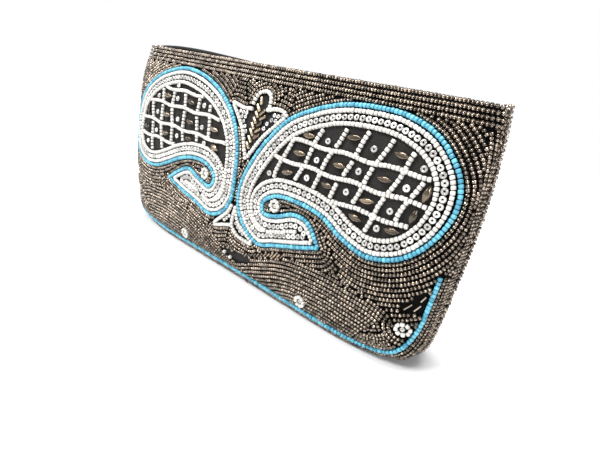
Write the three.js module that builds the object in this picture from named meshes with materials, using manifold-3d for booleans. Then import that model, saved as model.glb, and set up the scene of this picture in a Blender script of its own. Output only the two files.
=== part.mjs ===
// A stuffed velvet pouch purse with a beaded front: two curved velvet walls sewn at the sides and
// bottom, open at the top, with raised bead motifs on the front wall.
// Millimetres, +Z up, the front faces -Y, and the origin is under the middle of the whole form. The
// tables below measure depths from the plane of the seams, SEAM_Y behind the origin.
import * as THREE from "three";
import { mergeVertices } from "three/addons/utils/BufferGeometryUtils.js";
import Module from "manifold-3d";

const wasm = await Module();
wasm.setup();

// Cloth and clearances
const WALL = 2; // velvet with its backing and padding
const GAP = 0.35; // clearance between neighbouring pieces
const SEAM_GAP = 0.3; // clearance between the two walls along the seams
const SEAM_Y = 2.91; // the front stands out more than the back, so the seams lie behind the middle
const BACK_FULLNESS = 0.85; // the back stands out a little less than the front
const BACK_RISE = 3; // how far the back wall's edge stands up near the left corner
const BACK_RISE_FROM = 10; // the rise starts here, left of this X
const BACK_RISE_TO = -80; // and is full from here on
const BACK_RISE_FADE = 4; // how quickly it fades below the edge

// Each row is a horizontal section, from the mouth down to the bottom seam. height is its level at the
// middle, half_width reaches the side seam, depth is how far the wall stands out from the seam, and
// end_lift is how far the section turns up at its two ends.
const SECTIONS = [
  { height: 108, half_width: 108, depth: 5.2, end_lift: 0 },
  { height: 100.4, half_width: 108.7, depth: 8.6, end_lift: 0 },
  { height: 90.3, half_width: 109.3, depth: 12.6, end_lift: 0 },
  { height: 75.2, half_width: 109.7, depth: 15.8, end_lift: 0 },
  { height: 58, half_width: 109, depth: 17.6, end_lift: 0 },
  { height: 40, half_width: 107.4, depth: 19.2, end_lift: 0 },
  { height: 24, half_width: 105.8, depth: 19.4, end_lift: 0 },
  { height: 11, half_width: 104, depth: 18.4, end_lift: 0.8 },
  { height: 3.5, half_width: 101.9, depth: 16.4, end_lift: 2.9 },
  { height: 0, half_width: 99.8, depth: 14.4, end_lift: 3.9 },
  { height: 0, half_width: 97.6, depth: 7.5, end_lift: 3.7 },
  { height: 4.4, half_width: 95.4, depth: 0.2, end_lift: -0.4 },
];
const BASE_ROW = 9; // the section where the wall meets the surface that the pouch stands on
const END_POWER = 8; // how square a section is at its ends
const DEPTH_POWER = 4; // how flat a section is across its front
const LIFT_FROM = 0.6; // share of the half width from which the ends turn up

// Soft hollows pressed into the two walls
const FRONT_DENTS = [
  { x: -100, z: 72, radius: 12, depth: 1.2 },
  { x: -70, z: 26, radius: 22, depth: 1 },
];
const BACK_DENTS = [
  { x: -48, z: 66, radius: 34, depth: 2.6 },
  { x: 40, z: 48, radius: 40, depth: 3 },
  { x: 86, z: 74, radius: 22, depth: 1.8 },
];

// Meshing of the walls
const ROWS = SECTIONS.length - 1;
const LAYER_ROWS = 8; // the bead layers end at this row, above the base
const HALF_COLUMNS = 8;
const COLUMN_CROWDING = 2.3; // columns crowd towards the turned ends
const LAYER_START = 0.01; // the bead layers start just below the mouth
const HALVINGS = 40; // steps of the search for a height on the front
const SAMPLES = 400; // places tried along a lattice string's line
const FINE_STEP = 1.75; // spacing of the points of a motif's outline while it is moved
const THINNING = 3; // every third of those points is kept
const SLACK = 0.02; // how close a moved outline may come to where it crosses itself
const SHARPEST_MITRE = 0.4;
const PROBE = 0.5; // half the step used to find the front's slope

// Bead strings and layers
const STRING_WIDTH = 2.1;
const LAYER_HEIGHT = 1.4;
const BAND_HEIGHT = 1.7;
const STRING_HEIGHT = 1.6;
const STRING_LIFT = 0.65; // strings bridge the curve a little, so they lie higher than the layers
const STRING_CROWN = 0.7; // a string is this much narrower on top
const OUTLINE_STEP = 5.1; // spacing of the points along a string
const BAND_GAP = 0.65; // clearance between a blue outline and its band
const HOLE_GAP = 1; // clearance between a blue outline and the bead ground
const BAND_WIDTH = 7.8; // from a blue outline to the edge of the velvet window
const NET_MARGIN = 2.2; // room between the lattice's ends and the band
const WINDOW_FLOOR = 49; // the windows lie above this height, in the lobes
const GROUND_TOP = 106.6; // upper edge of the bead ground
const GROUND_SIDE = 104; // and its two side edges
const ROPE_RADIUS = 1.3;
const ROPE_CLEARANCE = 0.15; // extra room at the seam for the rope's flat facets
const ROPE_SIDES = 8;
const ROPE_STEPS = 54;
const ROPE_SIDE_ROWS = 14; // points of its path along a side seam
const ROPE_BOTTOM = [0.9, 0.78, 0.6, 0.4, 0.2, 0]; // and along the bottom seam, as shares of the half width
const HEM_MARGIN = 1.6; // room between the bead ground and the hem line
const PRISM_DEPTH = 40; // reaches through the front wall and its beads
const WELD = 1e-4; // corners closer than this are one
const END_LEAN = 2.4; // strings on the turned ends stand out sideways by this much
const END_LEAN_FROM = 90;
const END_LEAN_TO = 103;

// The paisleys, seen from the front: from the tail's tip under the tail, up the inner side, over the
// lobe and back along the hook. The two were drawn by hand, so each has its own columns.
const PAISLEY = [
  { right_x: 55.5, right_z: 39, left_x: -59.7, left_z: 38.8 },
  { right_x: 43, right_z: 34.5, left_x: -47, left_z: 35.3 },
  { right_x: 30, right_z: 30.3, left_x: -33, left_z: 32.8 },
  { right_x: 19, right_z: 27, left_x: -20, left_z: 29.7 },
  { right_x: 8.5, right_z: 32.5, left_x: -9, left_z: 34.2 },
  { right_x: 2.3, right_z: 42, left_x: -3.4, left_z: 43 },
  { right_x: 2.3, right_z: 53, left_x: -3.1, left_z: 55 },
  { right_x: 7, right_z: 64.5, left_x: -5, left_z: 70 },
  { right_x: 15, right_z: 77, left_x: -11, left_z: 81 },
  { right_x: 25, right_z: 87.8, left_x: -20, left_z: 88.7 },
  { right_x: 38, right_z: 94.5, left_x: -31, left_z: 94.2 },
  { right_x: 51, right_z: 98.4, left_x: -45, left_z: 98 },
  { right_x: 66, right_z: 99.7, left_x: -60, left_z: 99.4 },
  { right_x: 80, right_z: 98.8, left_x: -73, left_z: 97 },
  { right_x: 94, right_z: 93.6, left_x: -86, left_z: 91.2 },
  { right_x: 103.3, right_z: 83.5, left_x: -96.5, left_z: 82 },
  { right_x: 105.3, right_z: 71.5, left_x: -102.5, left_z: 70.5 },
  { right_x: 101, right_z: 58.5, left_x: -102.5, left_z: 58 },
  { right_x: 92, right_z: 48.8, left_x: -97, left_z: 47 },
  { right_x: 79, right_z: 44.6, left_x: -86, left_z: 41.5 },
  { right_x: 66, right_z: 47.4, left_x: -74, left_z: 42.3 },
  { right_x: 54, right_z: 52.8, left_x: -62, left_z: 47 },
  { right_x: 40, right_z: 54.5, left_x: -50, left_z: 52.3 },
  { right_x: 27, right_z: 53.5, left_x: -38, left_z: 55.4 },
  { right_x: 19.3, right_z: 48.5, left_x: -26, left_z: 55 },
  { right_x: 20.5, right_z: 43.3, left_x: -18.6, left_z: 50 },
  { right_x: 28, right_z: 44, left_x: -22, left_z: 44 },
  { right_x: 39, right_z: 48.4, left_x: -32, left_z: 46 },
  { right_x: 48, right_z: 47.2, left_x: -43, left_z: 48.3 },
  { right_x: 55.5, right_z: 39, left_x: -59.7, left_z: 38.8 },
];

// The strings across each velvet window: near-level ones at these heights, and slanted ones that pass
// these places at LATTICE_HEIGHT, from the height from_z up
const LATTICE_HEIGHT = 70;
const LATTICE_REACH = 110; // the strings' lines are drawn this far and cut to the windows
const LATTICE_STEP = 12;
const LATTICE = [
  {
    name: "right", side: 1, levels: [80.3, 70.5, 61], slope: 0.36,
    slanted: [
      { x: 25.8, from_z: 0 },
      { x: 38.1, from_z: 0 },
      { x: 48.2, from_z: 0 },
      { x: 58.8, from_z: 0 },
      { x: 69.3, from_z: 0 },
      { x: 80.6, from_z: 0 },
      { x: 89.3, from_z: 62 },
    ],
  },
  {
    name: "left", side: -1, levels: [87.6, 79, 68, 58.5], slope: 0.15,
    slanted: [
      { x: 28.5, from_z: 0 },
      { x: 38.8, from_z: 0 },
      { x: 51.2, from_z: 0 },
      { x: 62.5, from_z: 0 },
      { x: 73, from_z: 0 },
      { x: 83, from_z: 0 },
    ],
  },
];

// Oval beads in the windows: middle, and turn in degrees from level
const OVAL_LENGTH = 6.4;
const OVAL_RADIUS = 1.45;
const OVAL_SIDES = 10;
const OVAL_PROFILE = [ // shares of the radius and of the length
  { radius: 0, along: -0.5 },
  { radius: 0.62, along: -0.4 },
  { radius: 1, along: 0 },
  { radius: 0.62, along: 0.4 },
  { radius: 0, along: 0.5 },
];
const OVAL_BEADS = [
  { name: "right", x: 38, z: 83.3, turn: 12 },
  { name: "right", x: 60, z: 87.1, turn: 6 },
  { name: "right", x: 82.1, z: 85.5, turn: -6 },
  { name: "right", x: 35.2, z: 75.3, turn: 2 },
  { name: "right", x: 56.7, z: 75.4, turn: 3 },
  { name: "right", x: 78.1, z: 75.5, turn: 3 },
  { name: "right", x: 95.2, z: 74.8, turn: 84 },
  { name: "right", x: 30.6, z: 65.6, turn: 12 },
  { name: "right", x: 53.3, z: 66.1, turn: 3 },
  { name: "right", x: 73.2, z: 65.7, turn: 4 },
  { name: "right", x: 92.8, z: 65.9, turn: 68 },
  { name: "right", x: 69.9, z: 57.8, turn: -6 },
  { name: "right", x: 86.2, z: 58, turn: 12 },
  { name: "left", x: -47.5, z: 83.2, turn: -4 },
  { name: "left", x: -70, z: 83.4, turn: -2 },
  { name: "left", x: -24.2, z: 73.4, turn: -8 },
  { name: "left", x: -45, z: 73.2, turn: -4 },
  { name: "left", x: -68.2, z: 73.2, turn: 2 },
  { name: "left", x: -21.6, z: 64.6, turn: -10 },
  { name: "left", x: -44.6, z: 64.5, turn: 4 },
  { name: "left", x: -67, z: 62.8, turn: 2 },
  { name: "left", x: -88.3, z: 62.8, turn: 4 },
  { name: "left", x: -88.5, z: 73, turn: 84 },
];

// The tulip's white outline: left petal, middle leaf and right petal
const TULIP = {
  left_petal: [
    [0, 88.1], [-6, 87.6], [-14, 88.6], [-8.5, 83.2], [-3.6, 77.5], [-1.4, 73], [0.5, 68.5], [2.3, 64.3],
  ],
  leaf: [[0, 88.1], [-0.7, 90.5], [1, 95], [5, 96.7], [8.8, 95.2], [10.4, 91.5], [9.4, 88.2]],
  right_petal: [
    [9.4, 88.2], [13, 90], [18, 90.3], [22, 88.6], [18, 84.3], [11, 77], [6.4, 70.5], [2.3, 64.3],
  ],
};
const TULIP_MARGIN = 1.5; // room that the bead ground leaves round the tulip

// The pair of petals under the flower
const LOWER_PETALS = [
  [
    [0.8, 40.2], [3, 33.6], [6.5, 30.6], [11, 28.1], [14.7, 26], [13.5, 24.8], [7, 25], [3.3, 25.8], [-0.8, 30],
  ],
  [[-2, 40.2], [-5, 35.2], [-9.5, 31], [-14.2, 26.8], [-14, 25.2], [-8, 27.3], [-2.5, 29], [0.2, 30]],
];

// The blue hem line on the right half, from its upper end down to the middle
const HEM = [
  { x: 106, z: 46 },
  { x: 104.9, z: 34 },
  { x: 103.8, z: 24 },
  { x: 101.2, z: 14.5 },
  { x: 96.6, z: 8.2 },
  { x: 88, z: 5.2 },
  { x: 70, z: 4 },
  { x: 45, z: 4.1 },
  { x: 22, z: 4.6 },
  { x: 0, z: 4.8 },
];

// Small flowers of eight beads round one
const DAISY_RADIUS = 3.2;
const DAISY_WAVE = 0.35; // how far the beads' round sides stand out
const DAISY_BEADS = 8;
const DAISY_POINTS = 16;
const DAISIES = [
  { name: "daisy_corner_right", x: 99, z: 20.6 },
  { name: "daisy_corner_left", x: -99, z: 20.6 },
  { name: "daisy_hem_right", x: 49.3, z: 9.1 },
  { name: "daisy_hem_left", x: -42.6, z: 9.3 },
  { name: "daisy_hook_right", x: 26.6, z: 48.6 },
  { name: "daisy_hook_left", x: -26.8, z: 49.6 },
];

// Finishes
const FINISHES = {
  velvet: { color: 0x3c3a39, roughness: 0.95, metalness: 0 },
  bronze: { color: 0x6b5a4b, roughness: 0.35, metalness: 0.6 },
  white: { color: 0xeeebe4, roughness: 0.35, metalness: 0 },
  blue: { color: 0x58bfe0, roughness: 0.35, metalness: 0 },
  oval: { color: 0x8a7860, roughness: 0.25, metalness: 0.7 },
};

// The pouch's form

const profile = new THREE.SplineCurve(SECTIONS.map((row) => new THREE.Vector2(row.depth, row.height)));
const plan = new THREE.SplineCurve(SECTIONS.map((row) => new THREE.Vector2(row.half_width, row.end_lift)));
const BASE = BASE_ROW / (SECTIONS.length - 1);

function smooth(share) {
  const clamped = THREE.MathUtils.clamp(share, 0, 1);
  return clamped * clamped * (3 - 2 * clamped);
}

// How far a section stands out at the share u of its half width, from 1 at the middle to 0 at the seam
function fullness(u) {
  return Math.max(0, 1 - Math.abs(u) ** END_POWER) ** (1 / DEPTH_POWER);
}

function endLift(u) {
  return smooth((Math.abs(u) - LIFT_FROM) / (1 - LIFT_FROM));
}

function dentDepth(dents, x, z) {
  return dents.reduce((sum, dent) => {
    const away = Math.hypot(x - dent.x, z - dent.z) / dent.radius;
    return sum + dent.depth * Math.exp(-away * away);
  }, 0);
}

// A point on a wall: t runs from the mouth (0) to the bottom seam (1), u from seam to seam, lift is the
// height above the velvet, and side is -1 for the front and 1 for the back
function wallPoint(t, u, lift, side) {
  const section = profile.getPoint(t);
  const ends = plan.getPoint(t);
  const along = profile.getTangent(t);
  const full = side < 0 ? 1 : BACK_FULLNESS;
  const x = u * (ends.x + lift);
  let z = Math.max(0, section.y) + along.x * lift + ends.y * endLift(u);
  if (side > 0 && t < BASE) {
    const rise = smooth((BACK_RISE_FROM - x) / (BACK_RISE_FROM - BACK_RISE_TO));
    z += BACK_RISE * rise * fullness(u) * (1 - t / BASE) ** BACK_RISE_FADE;
  }
  const dents = side < 0 ? FRONT_DENTS : BACK_DENTS;
  const dent = dentDepth(dents, x, z) * fullness(u);
  const depth = (section.x * full - along.y * lift - dent) * fullness(u);
  return new THREE.Vector3(x, side * Math.max(SEAM_GAP / 2, depth), z);
}

// The point of the front wall seen at x, z from the front
function frontPoint(x, z, lift) {
  let low = 0;
  let high = BASE;
  for (let step = 0; step < HALVINGS; step += 1) {
    const t = (low + high) / 2;
    const ends = plan.getPoint(t);
    const level = Math.max(0, profile.getPoint(t).y) + ends.y * endLift(x / ends.x);
    if (level > z) low = t;
    else high = t;
  }
  return wallPoint(low, THREE.MathUtils.clamp(x / plan.getPoint(low).x, -1, 1), lift, -1);
}

// Closed meshes

function meshFrom(positions, triangles) {
  let volume = 0;
  const corner = [new THREE.Vector3(), new THREE.Vector3(), new THREE.Vector3()];
  for (const triangle of triangles) {
    triangle.forEach((index, k) => corner[k].copy(positions[index]));
    volume += corner[0].dot(corner[1].cross(corner[2]));
  }
  const order = volume < 0 ? triangles.map(([a, b, c]) => [a, c, b]) : triangles;
  const geometry = new THREE.BufferGeometry();
  const numbers = positions.flatMap((point) => point.toArray());
  geometry.setAttribute("position", new THREE.Float32BufferAttribute(numbers, 3));
  geometry.setIndex(order.flat());
  return geometry;
}

// A curved slab between two heights above a wall, over rows t and columns u
function slab(rows, columns, bottom, top, side) {
  const positions = [];
  const triangles = [];
  const across = columns.length;
  for (const lift of [bottom, top]) {
    for (const t of rows) {
      for (const u of columns) positions.push(wallPoint(t, u, lift, side));
    }
  }
  const layer = rows.length * across;
  const quad = (a, b, c, d) => triangles.push([a, b, c], [a, c, d]);
  for (let i = 0; i + 1 < rows.length; i += 1) {
    for (let j = 0; j + 1 < across; j += 1) {
      const a = i * across + j;
      quad(a, a + 1, a + across + 1, a + across);
      quad(layer + a, layer + a + across, layer + a + across + 1, layer + a + 1);
    }
    const left = i * across;
    const right = left + across - 1;
    quad(left, left + across, layer + left + across, layer + left);
    quad(right + across, right, layer + right, layer + right + across);
  }
  for (let j = 0; j + 1 < across; j += 1) {
    const last = (rows.length - 1) * across + j;
    quad(j + 1, j, layer + j, layer + j + 1);
    quad(last, last + 1, layer + last + 1, layer + last);
  }
  return meshFrom(positions, triangles);
}

function evenRows(from, to, count) {
  return Array.from({ length: count + 1 }, (_, i) => from + ((to - from) * i) / count);
}

function crowdedColumns(edge) {
  const half = evenRows(0, 1, HALF_COLUMNS).map((q) => edge * (1 - (1 - q) ** COLUMN_CROWDING));
  return [...half.slice(1).reverse().map((u) => -u), ...half];
}

// A bead string laid on the front along points seen from the front, narrower on top
function frontString(points, closed, width, height) {
  const positions = [];
  const triangles = [];
  const count = points.length;
  const low = points.map(([x, z]) => frontPoint(x, z, STRING_LIFT));
  const high = points.map(([x, z]) => frontPoint(x, z, STRING_LIFT + height));
  for (let i = 0; i < count; i += 1) {
    const before = low[closed ? (i + count - 1) % count : Math.max(0, i - 1)];
    const after = low[closed ? (i + 1) % count : Math.min(count - 1, i + 1)];
    const up = high[i].clone().sub(low[i]).normalize();
    const sideways = after.clone().sub(before).cross(up).normalize();
    const half = width / 2;
    positions.push(low[i].clone().addScaledVector(sideways, -half));
    positions.push(low[i].clone().addScaledVector(sideways, half));
    positions.push(high[i].clone().addScaledVector(sideways, half * STRING_CROWN));
    positions.push(high[i].clone().addScaledVector(sideways, -half * STRING_CROWN));
  }
  for (let i = 0; i < (closed ? count : count - 1); i += 1) {
    const a = 4 * i;
    const b = 4 * ((i + 1) % count);
    for (let k = 0; k < 4; k += 1) {
      const next = (k + 1) % 4;
      triangles.push([a + k, a + next, b + next], [a + k, b + next, b + k]);
    }
  }
  if (!closed) {
    const end = 4 * (count - 1);
    triangles.push([0, 2, 1], [0, 3, 2], [end, end + 1, end + 2], [end, end + 2, end + 3]);
  }
  return meshFrom(positions, triangles);
}

// Joining and cutting

function solidFrom(geometry) {
  const bare = geometry.clone();
  bare.deleteAttribute("normal");
  bare.deleteAttribute("uv");
  const merged = mergeVertices(bare, WELD);
  const vertProperties = new Float32Array(merged.attributes.position.array);
  const triVerts = new Uint32Array(merged.index.array);
  return new wasm.Manifold(new wasm.Mesh({ numProp: 3, vertProperties, triVerts }));
}

function geometryFrom(solid) {
  const mesh = solid.getMesh();
  const geometry = new THREE.BufferGeometry();
  geometry.setAttribute("position", new THREE.Float32BufferAttribute(Array.from(mesh.vertProperties), 3));
  geometry.setIndex(Array.from(mesh.triVerts));
  return geometry;
}

function joined(geometries) {
  return geometries.map(solidFrom).reduce((whole, solid) => whole.add(solid));
}

// The largest body of a solid: slivers cut off between motifs are dropped
function largestBody(solid) {
  const bodies = solid.decompose();
  return bodies.reduce((best, body) => (body.volume() > best.volume() ? body : best));
}

// A prism through the front wall, with its outline seen from the front
function prism(outline) {
  const shape = new THREE.Shape(outline.map(([x, z]) => new THREE.Vector2(x, z)));
  const geometry = new THREE.ExtrudeGeometry(shape, { depth: PRISM_DEPTH, bevelEnabled: false });
  geometry.rotateX(Math.PI / 2);
  return solidFrom(geometry);
}

// Curves seen from the front

function evenCurve(points, step, closed = false) {
  const curve = new THREE.SplineCurve(points.map(([x, z]) => new THREE.Vector2(x, z)));
  const count = Math.max(2, Math.round(curve.getLength() / step));
  const spaced = curve.getSpacedPoints(count).map((p) => [p.x, p.y]);
  return closed ? spaced.slice(0, -1) : spaced;
}

function distanceTo(outline, [x, z]) {
  let best = Infinity;
  const count = outline.length;
  for (let i = 0; i < count; i += 1) {
    const [ax, az] = outline[i];
    const [bx, bz] = outline[(i + 1) % count];
    const [dx, dz] = [bx - ax, bz - az];
    const along = THREE.MathUtils.clamp(((x - ax) * dx + (z - az) * dz) / (dx * dx + dz * dz), 0, 1);
    best = Math.min(best, Math.hypot(x - ax - along * dx, z - az - along * dz));
  }
  return best;
}

// A line moved to its right-hand side, seen from the front, with its corners kept sharp
function sideways(points, amount, closed = false) {
  const count = points.length;
  return points.map(([x, z], i) => {
    const before = new THREE.Vector2(...points[closed ? (i + count - 1) % count : Math.max(0, i - 1)]);
    const after = new THREE.Vector2(...points[closed ? (i + 1) % count : Math.min(count - 1, i + 1)]);
    const here = new THREE.Vector2(x, z);
    const arriving = here.clone().sub(before).normalize();
    const leaving = after.sub(here).normalize();
    const along = arriving.clone().add(leaving).normalize();
    const reach = amount / Math.max(SHARPEST_MITRE, along.dot(leaving), along.dot(arriving));
    return [x + along.y * reach, z - along.x * reach];
  });
}

// A closed outline moved to its inner side, or to its outer side for a negative amount, with the points
// dropped where it would cross itself
function movedOutline(outline, amount) {
  const turn = THREE.ShapeUtils.area(outline.map(([x, z]) => new THREE.Vector2(x, z))) > 0 ? -1 : 1;
  const moved = sideways(outline, turn * amount, true);
  return moved.filter((point) => distanceTo(outline, point) > Math.abs(amount) - SLACK);
}

function isInside(outline, [x, z]) {
  let inside = false;
  outline.forEach(([ax, az], i) => {
    const [bx, bz] = outline[(i + 1) % outline.length];
    if (az > z !== bz > z && x < ax + ((z - az) / (bz - az)) * (bx - ax)) inside = !inside;
  });
  return inside;
}

// The longest part of a straight line inside an outline, in steps of about LATTICE_STEP
function insidePart([from, to], outline) {
  const at = (share) => from.map((value, k) => value + (to[k] - value) * share);
  let [first, last, start] = [0, 0, 0];
  for (let k = 0; k <= SAMPLES; k += 1) {
    if (!isInside(outline, at(k / SAMPLES))) start = k + 1;
    else if (k - start > (last - first) * SAMPLES) [first, last] = [start / SAMPLES, k / SAMPLES];
  }
  const length = Math.hypot(...at(last).map((value, k) => value - at(first)[k]));
  return evenRows(first, last, Math.max(1, Math.round(length / LATTICE_STEP))).map(at);
}

const paisleys = ["right", "left"].map((name) => {
  const points = PAISLEY.map((row) => [row[`${name}_x`], row[`${name}_z`]]);
  const fine = evenCurve(points, FINE_STEP, true);
  const thinned = (outline) => outline.filter((_, i) => i % THINNING === 0);
  const inLobe = ([, z]) => z > WINDOW_FLOOR;
  const leaning = ([x, z]) => {
    const share = smooth((Math.abs(x) - END_LEAN_FROM) / (END_LEAN_TO - END_LEAN_FROM));
    return [x + Math.sign(x) * END_LEAN * share, z];
  };
  return {
    name,
    outline: evenCurve(points, OUTLINE_STEP, true),
    hole: thinned(movedOutline(fine, -(STRING_WIDTH / 2 + HOLE_GAP))).map(leaning),
    field: thinned(movedOutline(fine, STRING_WIDTH / 2 + BAND_GAP)),
    window: thinned(movedOutline(fine, BAND_WIDTH).filter(inLobe)),
    net: movedOutline(fine, BAND_WIDTH + NET_MARGIN).filter(inLobe),
  };
});

const tulipLines = Object.values(TULIP).map((points) => evenCurve(points, OUTLINE_STEP));
const tulipField = [...tulipLines[0].slice(1).reverse(), ...tulipLines[1], ...tulipLines[2].slice(1, -1)];

const daisyOutline = Array.from({ length: DAISY_POINTS }, (_, i) => {
  const angle = (2 * Math.PI * i) / DAISY_POINTS;
  const radius = DAISY_RADIUS + DAISY_WAVE * Math.cos(DAISY_BEADS * angle);
  return [radius * Math.cos(angle), radius * Math.sin(angle)];
});

// The pieces

const purse = new THREE.Group();

function addPiece(name, geometry, finish) {
  const mesh = new THREE.Mesh(geometry, new THREE.MeshStandardMaterial(FINISHES[finish]));
  mesh.name = name;
  purse.add(mesh);
  return mesh;
}

// A layer over the front, with the wall's own rows and columns so that the two stay parallel
function beadLayer(height) {
  const rows = [LAYER_START, ...evenRows(0, 1, ROWS).slice(1, LAYER_ROWS + 1)];
  return solidFrom(slab(rows, crowdedColumns(1), GAP, GAP + height, -1));
}

function addWalls() {
  const rows = evenRows(0, 1, ROWS);
  addPiece("front_panel", slab(rows, crowdedColumns(1), -WALL, 0, -1), "velvet");
  addPiece("back_panel", slab(rows, crowdedColumns(1), -WALL, 0, 1), "velvet");
}

// The whipped edge follows the side seams and the bottom seam, just outside them
function addRope() {
  const reach = GAP + ROPE_RADIUS + ROPE_CLEARANCE;
  const seam = [];
  for (const t of evenRows(0, 1, ROPE_SIDE_ROWS)) {
    seam.push([plan.getPoint(t).x, Math.max(0, profile.getPoint(t).y) + plan.getPoint(t).y]);
  }
  for (const u of ROPE_BOTTOM) {
    const point = wallPoint(1, u, 0, -1);
    seam.push([point.x, point.z]);
  }
  const right = sideways(seam, -reach).map(([x, z]) => new THREE.Vector3(x, 0, z));
  const left = right.slice(0, -1).map((p) => new THREE.Vector3(-p.x, p.y, p.z));
  const path = new THREE.CatmullRomCurve3([...left, ...right.reverse()]);
  const section = new THREE.Shape();
  for (let k = 0; k < ROPE_SIDES; k += 1) {
    const angle = (2 * Math.PI * k) / ROPE_SIDES;
    const corner = [ROPE_RADIUS * Math.cos(angle), ROPE_RADIUS * Math.sin(angle)];
    if (k === 0) section.moveTo(...corner);
    else section.lineTo(...corner);
  }
  const rope = new THREE.ExtrudeGeometry(section, { steps: ROPE_STEPS, extrudePath: path });
  addPiece("edge_rope", rope, "bronze");
}

// The bead ground is cut in two by the motifs: the field under them and the border over them. Slivers
// between neighbouring motifs are left out.
function addGround() {
  const low = sideways(hemPoints, HEM_MARGIN).filter(([x]) => Math.abs(x) < GROUND_SIDE);
  const rim = [[-GROUND_SIDE, GROUND_TOP], [GROUND_SIDE, GROUND_TOP], ...low];
  let ground = beadLayer(LAYER_HEIGHT).intersect(prism(rim));
  for (const paisley of paisleys) ground = ground.subtract(prism(paisley.hole));
  ground = ground.subtract(prism(movedOutline(tulipField, -TULIP_MARGIN)));
  for (const petal of LOWER_PETALS) ground = ground.subtract(prism(movedOutline(petal, -2 * GAP)));
  for (const daisy of DAISIES) {
    const room = movedOutline(daisyOutline, -2 * GAP).map(([x, z]) => [x + daisy.x, z + daisy.z]);
    ground = ground.subtract(prism(room));
  }
  const bodies = ground.decompose().sort((a, b) => b.volume() - a.volume());
  addPiece("bead_ground_lower", geometryFrom(bodies[0]), "bronze");
  addPiece("bead_ground_upper", geometryFrom(bodies[1]), "bronze");
}

const hemHalf = HEM.map(({ x, z }) => [x, z]);
const hemMirrored = hemHalf.slice(0, -1).reverse().map(([x, z]) => [-x, z]);
const hemPoints = evenCurve([...hemHalf, ...hemMirrored], OUTLINE_STEP);

function addPaisleys() {
  for (const paisley of paisleys) {
    const name = paisley.name;
    const outline = frontString(paisley.outline, true, STRING_WIDTH, STRING_HEIGHT);
    addPiece(`paisley_outline_${name}`, outline, "blue");
    const band = beadLayer(BAND_HEIGHT).intersect(prism(paisley.field)).subtract(prism(paisley.window));
    addPiece(`paisley_band_${name}`, geometryFrom(largestBody(band)), "white");
    const { side, levels, slanted, slope } = LATTICE.find((row) => row.name === name);
    const lines = levels.map((z) => [[0, z], [side * LATTICE_REACH, z]]);
    for (const { x, from_z } of slanted) {
      const at = (z) => [side * (x + (z - LATTICE_HEIGHT) * slope), z];
      lines.push([at(from_z), at(LATTICE_REACH)]);
    }
    const strings = lines.map((line) => insidePart(line, paisley.net));
    const bars = strings.map((points) => frontString(points, false, STRING_WIDTH, STRING_HEIGHT));
    addPiece(`lattice_${name}`, geometryFrom(largestBody(joined(bars))), "white");
  }
}

function addFlower() {
  const lines = tulipLines.map((points) => frontString(points, false, STRING_WIDTH, STRING_HEIGHT));
  addPiece("tulip", geometryFrom(largestBody(joined(lines))), "white");
  const layer = beadLayer(BAND_HEIGHT);
  const petals = LOWER_PETALS.map((petal) => layer.intersect(prism(petal)));
  addPiece("lower_petals", geometryFrom(largestBody(petals[0].add(petals[1]))), "white");
}

// Stands a piece on the front at x, z, with its own Z along the front's normal and its own X turned
// from level by the given degrees
function placeOnFront(mesh, x, z, lift, turn) {
  const sidewards = frontPoint(x + PROBE, z, 0).sub(frontPoint(x - PROBE, z, 0));
  const upwards = frontPoint(x, z + PROBE, 0).sub(frontPoint(x, z - PROBE, 0));
  const normal = sidewards.cross(upwards).normalize();
  const foot = frontPoint(x, z, 0).addScaledVector(normal, lift);
  const level = new THREE.Vector3(0, 0, 1).cross(normal).normalize();
  const along = level.multiplyScalar(-1).applyAxisAngle(normal, -THREE.MathUtils.degToRad(turn));
  const across = new THREE.Vector3().crossVectors(normal, along);
  mesh.position.copy(foot);
  mesh.setRotationFromMatrix(new THREE.Matrix4().makeBasis(along, across, normal));
}

function addDaisies() {
  const shape = new THREE.Shape(daisyOutline.map(([x, z]) => new THREE.Vector2(x, z)));
  for (const daisy of DAISIES) {
    const geometry = new THREE.ExtrudeGeometry(shape, { depth: STRING_HEIGHT, bevelEnabled: false });
    placeOnFront(addPiece(daisy.name, geometry, "white"), daisy.x, daisy.z, GAP, 0);
  }
}

// Oval beads lie on the velvet, thread hole end to end
function addOvalBeads() {
  const outline = OVAL_PROFILE.map(({ radius, along }) => {
    return new THREE.Vector2(radius * OVAL_RADIUS, along * OVAL_LENGTH);
  });
  const counts = { right: 0, left: 0 };
  for (const bead of OVAL_BEADS) {
    const geometry = new THREE.LatheGeometry(outline, OVAL_SIDES);
    geometry.rotateZ(Math.PI / 2);
    counts[bead.name] += 1;
    const name = `oval_bead_${bead.name}_${String(counts[bead.name]).padStart(2, "0")}`;
    placeOnFront(addPiece(name, geometry, "oval"), bead.x, bead.z, GAP + OVAL_RADIUS, bead.turn);
  }
}

addWalls();
addRope();
addGround();
addPiece("hem_line", frontString(hemPoints, false, STRING_WIDTH, STRING_HEIGHT), "blue");
addPaisleys();
addFlower();
addDaisies();
addOvalBeads();
for (const piece of purse.children) piece.position.y += SEAM_Y;

export default purse;
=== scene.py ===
"""Looks of a velvet pouch purse: two sewn velvet walls, and glass beads sewn in rows all over the front.

Bead lines are drawn as seen from the front, in millimetres, with X to the right and Z up. They are then
carried onto the curved velvet, where each bead stands on its own normal.
"""

import functools
import math

import bmesh
import bpy
import numpy as np
from mathutils import Matrix
from mathutils.kdtree import KDTree


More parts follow.
